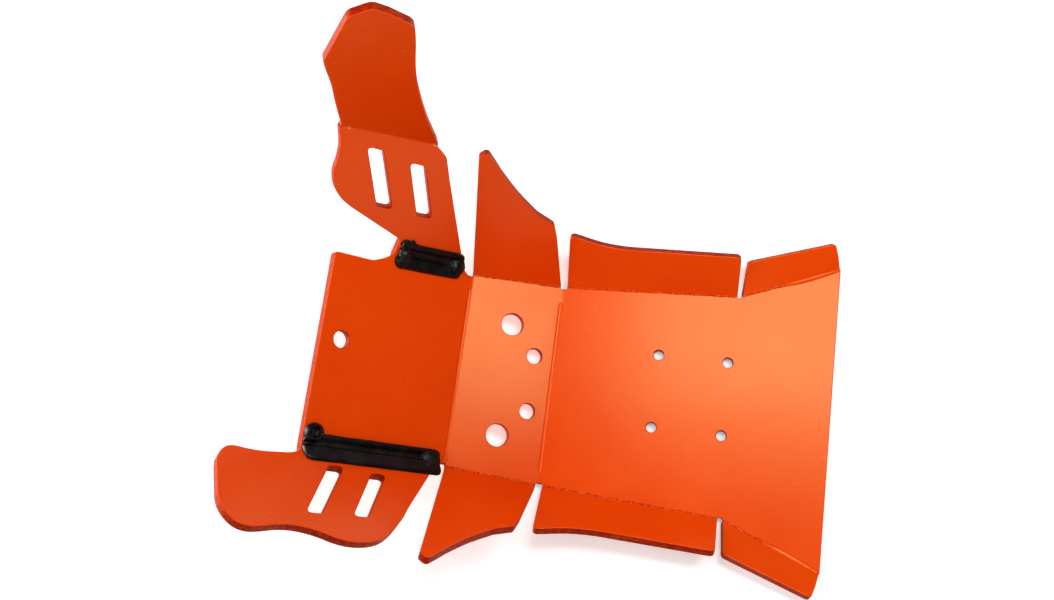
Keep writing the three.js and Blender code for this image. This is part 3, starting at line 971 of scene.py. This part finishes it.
@dataclass
class Tray:
    """Floor and strip: the flat middle of the plate, with the cross folds and their grooves."""

    finishes: Finishes
    hole_radius: float = 5.0
    hole_x: Point = (104.5, 172.8)
    hole_half_pitch: float = 36.4
    hole_offset: float = 5.7
    large_radius: float = 11.0
    large_x: float = 46.2
    large_half_pitch: float = 55.9
    small_radius: float = 7.7
    small_x: float = 19.4
    small_half_pitch: float = 27.9
    strip_offset: float = -2.5
    groove_radius: float = 2.6
    groove_depth: float = 0.7
    rear_groove: Point = (HALF_AT_STRIP_FOLD - 13.5, -2.0)
    front_groove: Point = (HALF_AT_FRONT_FOLD - 8.6, -5.0)

    def floor_edge(self, tray: TraySide) -> list[Point]:
        """One side edge of the floor, front to rear."""
        middle = tray.side.value * (HALF_AT_STRIP_FOLD - NOTCH_DIP)
        mid, rear = tray.line(tray.mid, tray.mid_span), tray.line(tray.rear, tray.rear_span)
        notch = dip_between(mid[1], rear[0], NOTCH_DIP)
        return [(RUN_OUT, middle), (RUN_OUT + 0.4, middle), *mid, *notch, *rear]

    def build_floor(self) -> Piece:
        """Build the floor panel."""
        right, left = TRAY[Side.RIGHT], TRAY[Side.LEFT]
        outline = [*self.floor_edge(left), *reversed(self.floor_edge(right))]
        hinges = [(outline[0], outline[-1])]
        for tray in (right, left):
            hinges += [tray.line(tray.mid, tray.mid_span), tray.line(tray.rear, tray.rear_span)]
        panel = SheetPiece("floor_sheet", FLOOR, outline, self.finishes, hinges)
        for x in self.hole_x:
            for side in Side:
                y = self.hole_offset + side.value * self.hole_half_pitch
                panel.drill(x, y, self.hole_radius)
        return panel.place("floor_panel")

    def strip_edge(self, tray: TraySide) -> list[Point]:
        """One side edge of the strip, front to rear."""
        sign = tray.side.value
        front, rear = sign * (HALF_AT_FRONT_FOLD - NOTCH_DIP), sign * (HALF_AT_STRIP_FOLD - NOTCH_DIP)
        return [(-STRIP_LENGTH, front), *tray.line(tray.fin, tray.fin_span), (-0.4, rear), (0.0, rear)]

    def build_strip(self) -> Piece:
        """Build the strip with both cross folds and their relief grooves."""
        right, left = TRAY[Side.RIGHT], TRAY[Side.LEFT]
        outline = [*self.strip_edge(left), *reversed(self.strip_edge(right))]
        edge = len(outline) // 2
        hinges = [(outline[0], outline[-1]), (outline[edge - 1], outline[edge])]
        hinges += [tray.line(tray.fin, tray.fin_span) for tray in (right, left)]
        panel = SheetPiece("strip_sheet", STRIP, outline, self.finishes, hinges)
        panel.bend(ORIGIN, X_AXIS, STRIP_FOLD, RUN_OUT)
        panel.bend(Vector((-STRIP_LENGTH, 0, 0)), -X_AXIS, FRONT_FOLD, RUN_OUT)
        for side in Side:
            large_y = self.strip_offset + side.value * self.large_half_pitch
            small_y = self.strip_offset + side.value * self.small_half_pitch
            panel.drill(-self.large_x, large_y, self.large_radius)
            panel.drill(-self.small_x, small_y, self.small_radius)
        self.groove(panel, 0.0, *self.rear_groove, STRIP_FOLD / 2)
        self.groove(panel, -STRIP_LENGTH, *self.front_groove, -FRONT_FOLD / 2)
        return panel.place("strip_panel")

    def groove(self, panel: SheetPiece, x: float, half: float, offset: float, lean: float) -> None:
        """Rout a ball-nosed groove along a cross fold.

        Args:
            panel: The strip.
            x: The fold's place.
            half: Half the groove's length.
            offset: Its middle's place along the fold.
            lean: Half the fold angle, with the sign of the side that the fold turns to.
        """
        radius = self.groove_radius
        height = radius - self.groove_depth
        middle = Vector((x + math.sin(lean) * height, 0, math.cos(lean) * height))
        turns = [k / 8 * math.pi for k in range(9)]
        rings = []
        for turn in turns:
            end = -1 if turn < math.pi / 2 else 1
            y = offset + end * (half - radius) - radius * math.cos(turn)
            girth = max(radius * math.sin(turn), 0.02)
            rings.append([middle + Vector((p.x, y, p.y)) for p in ring(0, 0, 0, girth, 24)])
        panel.cut_with(loft("cutter", rings), Skin.FACE)

    def build(self) -> None:
        """Build both panels."""
        self.build_floor()
        self.build_strip()


@dataclass
class TrayFlanges:
    """Fin, mid and rear flange of one side, with their fused seams."""

    finishes: Finishes
    side: Side
    fin_height: float = 144.0
    fin_rear_height: float = 75.5
    mid_height: float = 59.6
    mid_low_height: float = 46.8
    rear_height: float = 32.4
    rear_low_height: float = 26.9
    rear_lip: float = 2.5

    def fin_outline(self, start: float, end: float) -> list[Corner]:
        """A tall triangle whose sloping edge is hollowed."""
        hollow = [
            (start, self.fin_height - 18.5), (start + 21, self.fin_height - 39.5),
            (start + 45, self.fin_height - 59),
        ]
        return [
            (start, 0, 0), (start - 0.5, 1, 0), (start - 25.2, self.fin_height - 4.5, 4),
            (start - 18.5, self.fin_height + 3, 5), (start - 8, self.fin_height - 9, 0),
            *curve(hollow, 8),
            (end - 27, self.fin_rear_height, 6), (end - 20, self.fin_rear_height - 16, 0),
            (end, 1, 0), (end, 0, 0),
        ]

    def mid_outline(self, start: float, end: float) -> list[Corner]:
        """High at the front corner, then dipping to a long level edge."""
        slope = [
            (start + 12, self.mid_height - 2), (start + 34, self.mid_height - 8.6),
            (start + 56, self.mid_height - 12), (start + 78, self.mid_low_height),
        ]
        return [
            (start, 0, 0), (start, 1, 0), (start + 1.8, self.mid_height + 1, 5),
            *curve(slope, 12),
            (end, self.mid_low_height - 1.8, 5), (end, 1, 0), (end, 0, 0),
        ]

    def rear_outline(self, start: float, end: float) -> list[Corner]:
        """A low strip beside the flared rear of the floor."""
        return [
            (start, 0, 0), (start, 0.5, 0), (start + 13.2, self.rear_height, 5),
            (end + 1, self.rear_low_height, 4), (end + 0.8, self.rear_low_height / 2, 0),
            (end - 0.6, 0.5, 0), (end - 0.6, 0, 0),
        ]

    def build(self) -> None:
        """Build the three flanges and the seams in their folds."""
        tray = TRAY[self.side]
        makers = (
            ("fin", tray.fin, tray.fin_span, self.fin_outline),
            ("mid", tray.mid, tray.mid_span, self.mid_outline),
            ("rear", tray.rear, tray.rear_span, self.rear_outline),
        )
        for kind, fold, span, outline in makers:
            label = self.side.label
            panel = flange(f"{kind}_sheet_{label}", fold, outline(*span), self.finishes)
            panel.place(f"{kind}_flange_{label}")
            lip = self.rear_lip if kind == "rear" else 0.0
            FusedSeam(self.finishes, f"{kind}_flash_{label}", fold, span, lip).build(f"{kind}_seam_{label}")


def corner_frame(fold: Fold) -> Frame:
    """The frame of a fold's inside corner: x along the hinge, y outward, z off the parent."""
    return Frame(fold.start, fold.hinge * fold.sign, fold.outward)


def on_folded(angle: float, v: float, h: float) -> Point:
    """A section point v up the folded panel and h off its inside face."""
    return (v * math.cos(angle) - h * math.sin(angle), v * math.sin(angle) + h * math.cos(angle))


def bar(name: str, section: Sequence[Point], start: float, end: float, cuts: int) -> Piece:
    """A bar of one section along x, cut across many times.

    Args:
        name: The piece's name.
        section: Points (y, z) round the section.
        start: Where it starts.
        end: Where it ends.
        cuts: How many cuts it gets across.

    Returns:
        The bar.
    """
    piece = blank(name, [Vector((start, y, z)) for y, z in section])
    with editing(piece):
        bpy.ops.mesh.extrude_region_move(TRANSFORM_OT_translate={"value": (end - start, 0, 0)})
        pick(piece, Element.EDGE, lambda edge: abs(edge.verts[0].co.x - edge.verts[1].co.x) > NEAR)
        bpy.ops.mesh.subdivide(number_cuts=cuts)
    face_outwards(piece)
    return piece


@dataclass
class FusedSeam:
    """The ragged line of plastic that a hot-grooved fold squeezes into its inside corner.

    The crumbs are how strongly it grows and shrinks: over a millimetre, less, and centimetres.
    """

    finishes: Finishes
    name: str
    fold: Fold
    span: Point
    lip: float = 0.0
    half_width: float = 1.35
    height: float = 0.75
    buried: float = 0.4
    foot: float = 0.6
    step: float = 0.45
    end_gap: float = 0.4
    end_taper: float = 2.5
    lip_start: float = 0.3
    body: float = 0.75
    crumbs: Strengths = (0.75, 0.45, 0.35)
    wander: float = 0.28

    def section(self) -> list[Point]:
        """A flat lens over the corner, closed below the sheet's faces."""
        points = []
        for k in range(9):
            share = k / 8 * 2 - 1
            over = self.height * (1 - share**2)
            if share < 0:
                points.append((share * self.half_width, over))
            else:
                points.append(on_folded(self.fold.angle, share * self.half_width, over))
        foot = self.half_width * self.foot
        return [*points, on_folded(self.fold.angle, foot, -self.buried), (-foot, -self.buried)]

    def share(self, x: float) -> float:
        """How far along the seam a place is, from 0 to 1."""
        along = (self.fold.sign * x - self.span[0]) / (self.span[1] - self.span[0])
        return min(1.0, max(0.0, along))

    def smoothed(self, x: float) -> float:
        """How far the seam has turned from crumbs into a smooth lip."""
        return min(1.0, max(0.0, (self.share(x) - self.lip_start) * 4)) if self.lip else 0.0

    def ragged(self, point: Vector) -> Vector:
        """Push a point in or out by uneven amounts along the seam."""
        start, end = sorted((self.fold.sign * self.span[0], self.fold.sign * self.span[1]))
        if point.z < -self.buried / 2 and abs(point.y) < self.half_width * 0.7:
            return point
        middling, fine, slow = self.crumbs
        seed = Vector((point.x * 0.9, point.y * 0.8, point.z + self.fold.length))
        grow = self.body + middling * noise.noise(seed) + fine * noise.noise(seed * 2.7)
        grow += slow * noise.noise(Vector((point.x * 0.12, 7.0, self.fold.length)))
        share = self.share(point.x)
        smoothed = self.smoothed(point.x)
        swell = 1 + (self.lip - 1) * math.sin(math.pi * share**1.6) if point.y < 0 else 1.0
        grow += (swell - grow) * smoothed
        ends = min(1.0, (point.x - start) / self.end_taper, (end - point.x) / self.end_taper)
        grow *= max(0.15, ends)
        turn = noise.noise(Vector((point.x * 0.35, 3.0, self.fold.length)))
        wander = self.wander * (1 - smoothed) * turn
        height = max(0.2, grow + (1.25 - grow) * smoothed * ends)
        return Vector((point.x, point.y * grow + wander, point.z * height))

    def build(self, node: str) -> Piece:
        """Build the seam.

        Args:
            node: The part's node that it stands for.

        Returns:
            The finished piece.
        """
        ends = (self.span[0] + self.end_gap, self.span[1] - self.end_gap)
        start, end = (self.fold.sign * s for s in ends)
        cuts = round(abs(end - start) / self.step)
        piece = bar(self.name, self.section(), start, end, cuts)
        warp(piece, self.ragged)
        piece.data.materials.append(self.finishes.flash)
        piece.data.materials.append(self.finishes.face)
        for face in piece.data.polygons:
            face.material_index = int(self.smoothed(face.center.x) > 0.5)
        return settle(piece, corner_frame(self.fold), SEAM_CREASE, node)


@dataclass(frozen=True)
class Slot:
    """A slanted slot with ends parallel to the ear's hinge."""

    s: float
    low: float
    high: float
    width: float
    lean: float = 0.62
    corner: float = 3.5

    def outline(self, sign: int, grow: float) -> list[Point]:
        """The slot's points, grown all round.

        Args:
            sign: The ear's direction along its hinge.
            grow: How far the outline is grown.

        Returns:
            The points in flat coordinates.
        """
        half = self.width / 2 + grow * math.sqrt(1 + self.lean**2)
        low, high = self.low - grow, self.high + grow
        low_s, high_s = self.s - grow * self.lean, self.s + (high - self.low) * self.lean
        corners = (
            (low_s - half, low), (low_s + half, low), (high_s + half, high), (high_s - half, high),
        )
        return rounded([(sign * s, v, self.corner + grow) for s, v in corners])

    def rout(self, panel: SheetPiece, sign: int) -> None:
        """Rout the slot through its ear."""
        panel.rout(lambda grow: self.outline(sign, grow))


@dataclass
class Ears:
    """The front panel and the two ears folded from its sides."""

    finishes: Finishes
    hole_radius: float = 8.0
    hole_edge: float = 21.9
    half_right: float = 79.0
    notch: float = 10.5
    dimple_radius: float = 2.1
    dimple_shares: Point = (0.10, 0.965)
    dimple_shape: Corner = (1.4, 1.0, 0.7)
    dimple_lift: float = 0.9
    lobe_hinge: Hinge = ((199.7, 113.0), (100.5, 119.3))
    lobe_run_out: float = 2.0
    lobe_step: float = 2.4  # how far in the blade's corner stands, so that the outline runs on
    lobe_far: int = 4  # the lobe hinge's far end among the right ear's corners
    right_slots: tuple[Slot, ...] = (Slot(123.4, 46, 100, 16.2), Slot(79.9, 45.3, 95.4, 16.2))
    left_slots: tuple[Slot, ...] = (Slot(121, 18, 74, 14.4), Slot(79, 22, 73.5, 14.4))

    def build_front(self) -> Piece:
        """Build the front panel."""
        right, left = RIGHT_EAR.fold(Side.RIGHT), LEFT_EAR.fold(Side.LEFT)
        half = HALF_AT_FRONT_FOLD - NOTCH_DIP
        right_line = (right.on_parent(RIGHT_EAR.end), right.on_parent(RIGHT_EAR.start))
        slant = math.hypot(1, LEFT_EAR.slant)
        left_line = (left.on_parent(LEFT_EAR.start), left.on_parent(FRONT_LENGTH * slant))
        outline = [
            (-RUN_OUT, -half), (-self.notch / 2, -half, 3),
            *left_line,
            (-FRONT_LENGTH, self.half_right, 5), (-112, self.half_right + 1.9, 14),
            (-99, self.half_right + 8, 10),
            *right_line,
            (-self.notch / 2, half, 3), (-RUN_OUT, half),
        ]
        hinges = [((-RUN_OUT, -half), (-RUN_OUT, half)), left_line, right_line]
        panel = SheetPiece("front_sheet", FRONT, outline, self.finishes, hinges)
        panel.drill(self.hole_edge - FRONT_LENGTH, 0, self.hole_radius)
        return panel.place("front_panel")

    def right_outline(self) -> list[Corner]:
        """The right ear's blade, up to its lobe's fold."""
        start, end = RIGHT_EAR.start, RIGHT_EAR.end
        near, far = self.lobe_hinge
        waist = [
            (194.8, 106), (189.6, 95), (186.4, 82.7), (185.2, 70), (181.5, 60), (175.5, 51.5),
            (166, 44), (154, 38.3),
        ]
        return [
            (start, 0, 0), (start, 0.5, 0), (72.6, 88.7, 0), (86.5, 110, 12), (*far, 0), (*near, 0),
            *curve(waist, 28),
            (end + 0.6, 16.3, 3), (end, 0.5, 0), (end, 0, 0),
        ]

    @staticmethod
    def lobe_outline(length: float) -> list[Corner]:
        """The right ear's upper lobe, from its fold."""
        front = [(3.2, 0), (-6.4, 14), (-17.3, 30.8), (-28, 48), (-40, 64)]
        rear = [
            (14.5, 116), (22.5, 100.5), (31, 85.5), (42, 69), (55, 51.5), (70, 32.8), (86, 15),
            (length - 4, 5),
        ]
        return [
            *curve(front, 12),
            (-46.4, 73.5, 6), (-50.5, 128, 10), (-37, 143.5, 10), (-22, 142.5, 10), (2, 137.5, 12),
            (9.5, 125, 8),
            *curve(rear, 24),
            (length, 0, 0),
        ]

    def build_right(self) -> None:
        """Build the right ear's blade and lobe, with the two dimples in their fold."""
        fold = RIGHT_EAR.fold(Side.RIGHT)
        near, far = (Vector((fold.sign * s, v)) for s, v in self.lobe_hinge)
        lobe_fold = Fold(fold.frame, near, far, LOBE_FOLD, 1)
        back = (far - near).normalized().orthogonal() * self.lobe_run_out
        back *= math.copysign(1, -back.y)
        corners = [(fold.sign * s, *rest) for s, *rest in self.right_outline()]
        blade_near = near + back + (far - near).normalized() * self.lobe_step
        for corner, hinge_end in ((self.lobe_far, far + back), (self.lobe_far + 1, blade_near)):
            corners[corner] = (*hinge_end, 0)
        hinges = [((corners[0][0], 0), (corners[-1][0], 0)), (blade_near, far + back)]
        blade = SheetPiece("right_ear_blade", fold.frame, corners, self.finishes, hinges)
        for slot in self.right_slots:
            slot.rout(blade, fold.sign)
        blade.bend(ORIGIN, -Y_AXIS, fold.angle)
        outline = self.lobe_outline(lobe_fold.length)
        lobe = flange("right_ear_lobe", lobe_fold, outline, self.finishes, run_out=self.lobe_run_out)
        for panel in (blade, lobe):
            panel.piece.data.materials.append(self.finishes.burr)
        for share in self.dimple_shares:
            spot = lobe_fold.start.lerp(lobe_fold.end, share)
            for piece in (blade, lobe):
                self.press_dimple(piece, piece.home.local(spot))
        blade.place("ear_blade_right")
        lobe.place("ear_lobe_right")

    def press_dimple(self, panel: SheetPiece, place: Vector) -> None:
        """Press one shallow dimple where the fold was clamped."""
        deselect_everything()
        bpy.ops.mesh.primitive_uv_sphere_add(segments=24, ring_count=12, radius=self.dimple_radius)
        cutter = bpy.context.object
        x, y, z = self.dimple_shape
        warp(cutter, lambda p: place + Vector((p.x * x, p.y * y, p.z * z + self.dimple_lift)))
        panel.cut_with(cutter, Skin.BURR)

    def left_outline(self) -> list[Corner]:
        """The left ear's blade, which sweeps forward past the front panel."""
        front = FRONT_LENGTH
        crest = [
            (66, 68.8), (74, 77.5), (84, 87.5), (95, 95.8), (106, 100.2), (118, 102.2),
            (front - 22.6, 101.8), (front - 11.6, 99.3), (front + 0.4, 94.6), (front + 12.4, 91.2),
            (front + 25.4, 89.4), (front + 38.4, 90), (front + 53.4, 93), (front + 64.4, 94),
            (front + 74.4, 90.6), (front + 81.4, 82.5), (front + 85.4, 72), (front + 86, 62),
        ]
        heel = [
            (front + 80.2, 22), (front + 75.9, 14.5), (front + 70.4, 9.4), (front + 63.4, 7.3),
            (front + 50.4, 9), (front + 37.4, 9.6), (front + 23.4, 8.6), (front + 11.4, 7.4),
            (front + 3.4, 4.5),
        ]
        start = LEFT_EAR.start
        return [
            (start, 0, 0), (start, 0.5, 0), (58, 58, 0),
            *curve(crest, 72),
            (front + 81.9, 30, 0),
            *curve(heel, 36),
            (front, 1, 0), (front, 0, 0),
        ]

    def build_left(self) -> None:
        """Build the left ear."""
        fold = LEFT_EAR.fold(Side.LEFT)
        panel = flange("left_ear_blade", fold, self.left_outline(), self.finishes, self.left_slots)
        panel.place("ear_blade_left")

    def build(self) -> None:
        """Build the front panel and both ears."""
        self.build_front()
        self.build_right()
        self.build_left()


@dataclass(frozen=True)
class Blob:
    """A lump or hollow of a weld bead: s along it, p outward, z off the panel."""

    s: float
    p: float
    z: float
    size: tuple[float, float, float]
    rough: float = 0.0


@dataclass
class WeldBead:
    """A black extruded weld along an ear's fold: ridge, trough, start blob and end dimple.

    The feed of the hot plastic leaves slow curls, a ripple and fine unevenness, in that order.
    """

    finishes: Finishes
    name: str
    fold: Fold
    start: float
    end: float
    lumps: tuple[Blob, ...]
    hollows: tuple[Blob, ...]
    panel_leg: float = 15.0
    ear_leg: float = 16.0
    wall: float = 3.6
    ridge: float = 6.0
    voxel: float = 0.6
    step: float = 1.2
    end_reach: float = 9.0
    back_depth: float = 0.5
    feed: Strengths = (0.35, 0.07, 0.10)
    ridge_on_ear: bool = True

    def section(self) -> list[Point]:
        """The bead's section: a wall off each face, a shallow trough and a ridge."""
        angle = self.fold.angle
        wall, ridge = self.wall, self.ridge
        edge = [(0.0, 0.6), (0.4, wall * 0.8), (2.0, wall + 0.9), (4.4, wall + 0.4)]
        outer = [(0.0, 0.6), (0.5, wall * 0.75), (2.4, wall + 0.2)]
        on_panel, on_ear = (edge, outer) if self.ridge_on_ear else (outer, edge)
        if self.ridge_on_ear:
            middle = [
                (-self.panel_leg * 0.5, wall - 1.9), (-3.0, wall - 1.2),
                on_folded(angle, 0.4, ridge - 1.8),
                on_folded(angle, 2.3, ridge),
                on_folded(angle, 3.8, ridge - 0.3),
                on_folded(angle, self.ear_leg * 0.55, wall + 0.9),
            ]
        else:
            middle = [
                (-self.panel_leg * 0.6, wall + 1.0), (-4.2, ridge - 0.3), (-2.8, ridge),
                (-1.0, ridge - 1.2),
                on_folded(angle, 2.0, wall - 0.2),
                on_folded(angle, self.ear_leg * 0.5, wall - 1.7),
            ]
        top = [
            *((y - self.panel_leg, z) for y, z in on_panel),
            *middle,
            *(on_folded(angle, self.ear_leg - v, h) for v, h in reversed(on_ear)),
        ]
        below = [on_folded(angle, self.ear_leg - 0.8, -1.5), (0.6, -1.5), (-self.panel_leg + 0.8, -1.5)]
        return [*smooth(top, 42), *below]

    def rounded_end(self, point: Vector) -> Vector:
        """Draw a point in near the bead's ends, so that they are round."""
        s = point.x * self.fold.sign
        gap = max(0.0, self.end_reach - min(s - self.start, self.end - s))
        share = math.sqrt(max(0.0, 1 - (gap / self.end_reach) ** 2.8))
        width = 0.5 + 0.5 * share
        return Vector((point.x, 0.5 + (point.y - 0.5) * width, point.z * (0.4 + 0.6 * share)))

    def lump(self, blob: Blob) -> Piece:
        """One lump of weld."""
        deselect_everything()
        bpy.ops.mesh.primitive_ico_sphere_add(subdivisions=5, radius=1)
        piece = bpy.context.object
        middle = Vector((self.fold.sign * blob.s, blob.p, blob.z))

        def pull(point: Vector) -> Vector:
            """Move a point of the unit ball onto the lump."""
            grow = 1 + blob.rough * noise.noise(point * 2.1 + middle)
            return middle + Vector([c * size * grow for c, size in zip(point, blob.size)])

        warp(piece, pull)
        return piece

    def flow(self, point: Vector) -> float:
        """How far the surface stands out at a point, from the feed of the hot plastic."""
        x, y, z = point
        curl, ripple, fine = self.feed
        curl *= noise.noise(Vector((x * 0.05, y * 0.12, 1.0)))
        ripple *= math.sin(x * 2.4 + y * 0.35 + 2.0 * noise.noise(Vector((x * 0.1, 0, 5))))
        fine *= noise.noise(Vector((x * 0.45, y * 0.9, z * 0.9)))
        return curl + ripple + fine

    def build(self, node: str) -> Piece:
        """Build the bead.

        Args:
            node: The part's node that it stands for.

        Returns:
            The finished piece.
        """
        sign = self.fold.sign
        cuts = round((self.end - self.start) / self.step)
        piece = bar(self.name, self.section(), sign * self.start, sign * self.end, cuts)
        warp(piece, self.rounded_end)
        lumps = [self.lump(blob) for blob in self.lumps]
        take(piece)
        for lump in lumps:
            lump.select_set(True)
        bpy.ops.object.join()
        apply_modifier(piece, "REMESH", mode="VOXEL", voxel_size=self.voxel)
        for blob in self.hollows:
            cut(piece, self.lump(blob))
        apply_modifier(piece, "REMESH", mode="VOXEL", voxel_size=self.voxel)
        apply_modifier(piece, "SMOOTH", factor=0.5, iterations=4)
        normals = [vertex.normal.copy() for vertex in piece.data.vertices]
        for vertex, normal in zip(piece.data.vertices, normals):
            vertex.co += normal * self.flow(vertex.co)
        self.trim_back(piece)
        piece.data.materials.clear()
        piece.data.materials.append(self.finishes.weld)
        return settle(piece, corner_frame(self.fold), BEAD_CREASE, node)

    def trim_back(self, piece: Piece) -> None:
        """Cut off what would stand out through the sheet's back."""
        angle = self.fold.angle
        with editing(piece):
            for away in (-Z_AXIS, Vector((0, math.sin(angle), -math.cos(angle)))):
                bpy.ops.mesh.select_all(action="SELECT")
                back = away * self.back_depth
                bpy.ops.mesh.bisect(plane_co=back, plane_no=away, use_fill=True, clear_outer=True)
        face_outwards(piece, 0.0)


def build_beads(finishes: Finishes) -> None:
    """Build the weld beads of both ears."""
    left, right = LEFT_EAR.fold(Side.LEFT), RIGHT_EAR.fold(Side.RIGHT)
    long_end, short_end = FRONT_LENGTH - 1.5, RIGHT_EAR.end - 4
    WeldBead(
        finishes,
        "left_weld",
        left,
        LEFT_EAR.start - 3,
        long_end,
        lumps=(
            Blob(long_end - 8.5, -14.0, 2.6, (9.4, 9.0, 7.2), 0.10),
            Blob(18, -2.5, 2.8, (10.5, 10.0, 4.6), 0.08),
            Blob(21, 2.5, 4.6, (9.0, 5.0, 4.4), 0.10),
        ),
        hollows=(Blob(long_end - 8.0, -14.2, 10.8, (6.9, 6.4, 6.4), 0.12),),
        panel_leg=14.0,
        ear_leg=14.6,
    ).build("weld_bead_left")
    WeldBead(
        finishes,
        "right_weld",
        right,
        RIGHT_EAR.start + 4,
        short_end,
        lumps=(
            Blob(short_end - 6, 10.0, 9.6, (8.5, 5.5, 4.8), 0.45),
            Blob(short_end - 5, 3.0, 4.6, (6.5, 8.0, 5.0), 0.15),
            Blob(short_end - 3, -6.0, 1.8, (6.5, 7.0, 5.0), 0.15),
            Blob(22, 1.0, 4.0, (8.5, 9.5, 4.8), 0.10),
        ),
        hollows=(
            Blob(20.5, 0.0, 11.2, (4.6, 4.6, 3.8), 0.08),
            Blob(short_end - 6, 8.5, 15.2, (5.0, 3.0, 3.2), 0.4),
        ),
        panel_leg=12.8,
        ear_leg=15.4,
        ridge_on_ear=False,
    ).build("weld_bead_right")


# ---------------------------------------------------------------- stage


@dataclass(frozen=True)
class Softbox:
    """A soft rectangular light aimed at a point, in metres and watts."""

    name: str
    place: tuple[float, float, float]
    target: tuple[float, float, float]
    size: Point
    power: float

    def hang(self) -> None:
        """Hang the light out of sight."""
        data = bpy.data.lights.new(self.name, "AREA")
        data.shape = "RECTANGLE"
        data.size, data.size_y = self.size
        data.energy = self.power
        light = bpy.data.objects.new(self.name, data)
        bpy.context.scene.collection.objects.link(light)
        light.location = self.place
        aim = Vector(self.target) - Vector(self.place)
        light.rotation_euler = aim.to_track_quat("-Z", "Y").to_euler()
        light.visible_camera = False


SOFTBOXES = (
    Softbox("key", (0.40, 0.42, 1.4), (0.40, 0.42, 0.0), (1.0, 0.45), 16.2),
    Softbox("front_fill", (-1.8, 0.0, 1.5), (0.0, 0.0, 0.1), (1.0, 1.6), 27.0),
    Softbox("left_fill", (0.0, -1.5, 1.5), (0.0, 0.0, 0.1), (1.8, 1.0), 7.5),
    Softbox("front_rim", (-2.2, 0.3, 0.22), (-0.3, 0.0, 0.1), (0.8, 0.3), 50.0),
)


@dataclass
class Studio:
    """A pale floor that glows, soft lights and the camera."""

    floor_size: float = 9.0
    floor_drop: float = 0.0006
    # The floor's glow is painted light: weak and cyan near the plate, to cancel the pink bounce and lift
    # the shade round it, full and white far off.
    floor_glow: Point = (0.32, 1.0)
    glow_reach: Point = (0.65, 1.3)
    near_glow: Colour = (0.75, 1.0, 1.0, 1.0)
    far_glow: Colour = (1.0, 1.0, 1.0, 1.0)
    camera_place: tuple[float, float, float] = (-0.04324, -0.17190, 1.09779)
    camera_turn: tuple[float, float, float] = (13.8706, 4.9228, 7.5919)
    lens: float = 37.71
    air: float = 0.05
    backdrop: float = 1.0

    def build(self) -> None:
        """Set up the whole stage."""
        self.lay_floor()
        self.paint_backdrop()
        for softbox in SOFTBOXES:
            softbox.hang()
        self.set_camera()

    def lay_floor(self) -> None:
        """Lay a pale floor just under the plate, which glows: painted light, weak and tinted cyan near the
        plate and full far off, which lifts the shade round the plate and lights the plate from below.
        """
        deselect_everything()
        bpy.ops.mesh.primitive_plane_add(size=self.floor_size, location=(0, 0, -self.floor_drop))
        floor = bpy.context.object
        floor.name = "studio_floor"
        with editing(floor):
            bpy.ops.mesh.subdivide(number_cuts=3)
        material = bpy.data.materials.new("pale_floor")
        material.use_nodes = True
        nodes = Nodes(material.node_tree)
        place = nodes.add("TexCoord").outputs["Object"]
        distance = nodes.run("VectorMath", (0,), (place,), 1, operation="LENGTH")
        far = nodes.ramp(distance, *self.glow_reach)
        # The floor glows as painted light, which lights the plate as well.
        glow = nodes.ramp(far, 0.0, 1.0, self.floor_glow)
        tint = nodes.mix(far, self.near_glow, self.far_glow)
        shader = nodes.add("BsdfPrincipled", Roughness=0.9, Emission_Strength=glow, Emission_Color=tint)
        shader.inputs["Base Color"].default_value = (0.92, 0.92, 0.92, 1)
        shader.inputs["Specular IOR Level"].default_value = 0.1
        nodes.add("OutputMaterial", Surface=shader.outputs["BSDF"])
        floor.data.materials.append(material)

    def paint_backdrop(self) -> None:
        """Fill the room with a little light, before a white backdrop."""
        world = bpy.data.worlds.new("studio")
        bpy.context.scene.world = world
        world.use_nodes = True
        nodes = Nodes(world.node_tree)
        seen = nodes.add("LightPath").outputs["Is Camera Ray"]
        strength = nodes.math("ADD", self.air, nodes.math("MULTIPLY", seen, self.backdrop - self.air))
        background = nodes.add("Background", Strength=strength)
        background.inputs["Color"].default_value = (1, 1, 1, 1)
        nodes.add("OutputWorld", Surface=background.outputs["Background"])

    def set_camera(self) -> None:
        """Stand the camera over the plate, looking down at its inside."""
        data = bpy.data.cameras.new("camera")
        data.lens = self.lens
        data.sensor_width = 36
        camera = bpy.data.objects.new("camera", data)
        bpy.context.scene.collection.objects.link(camera)
        camera.location = self.camera_place
        camera.rotation_euler = [turn * DEG for turn in self.camera_turn]
        bpy.context.scene.camera = camera
        bpy.context.scene.view_settings.view_transform = "Standard"


def main() -> None:
    """Build the finishes, the plate and the stage, and report each piece."""
    logging.basicConfig(level=logging.INFO, format="%(message)s")
    finishes = Finishes()
    Tray(finishes).build()
    for side in Side:
        TrayFlanges(finishes, side).build()
    Ears(finishes).build()
    build_beads(finishes)
    Studio().build()


if __name__ == "__main__":
    main()
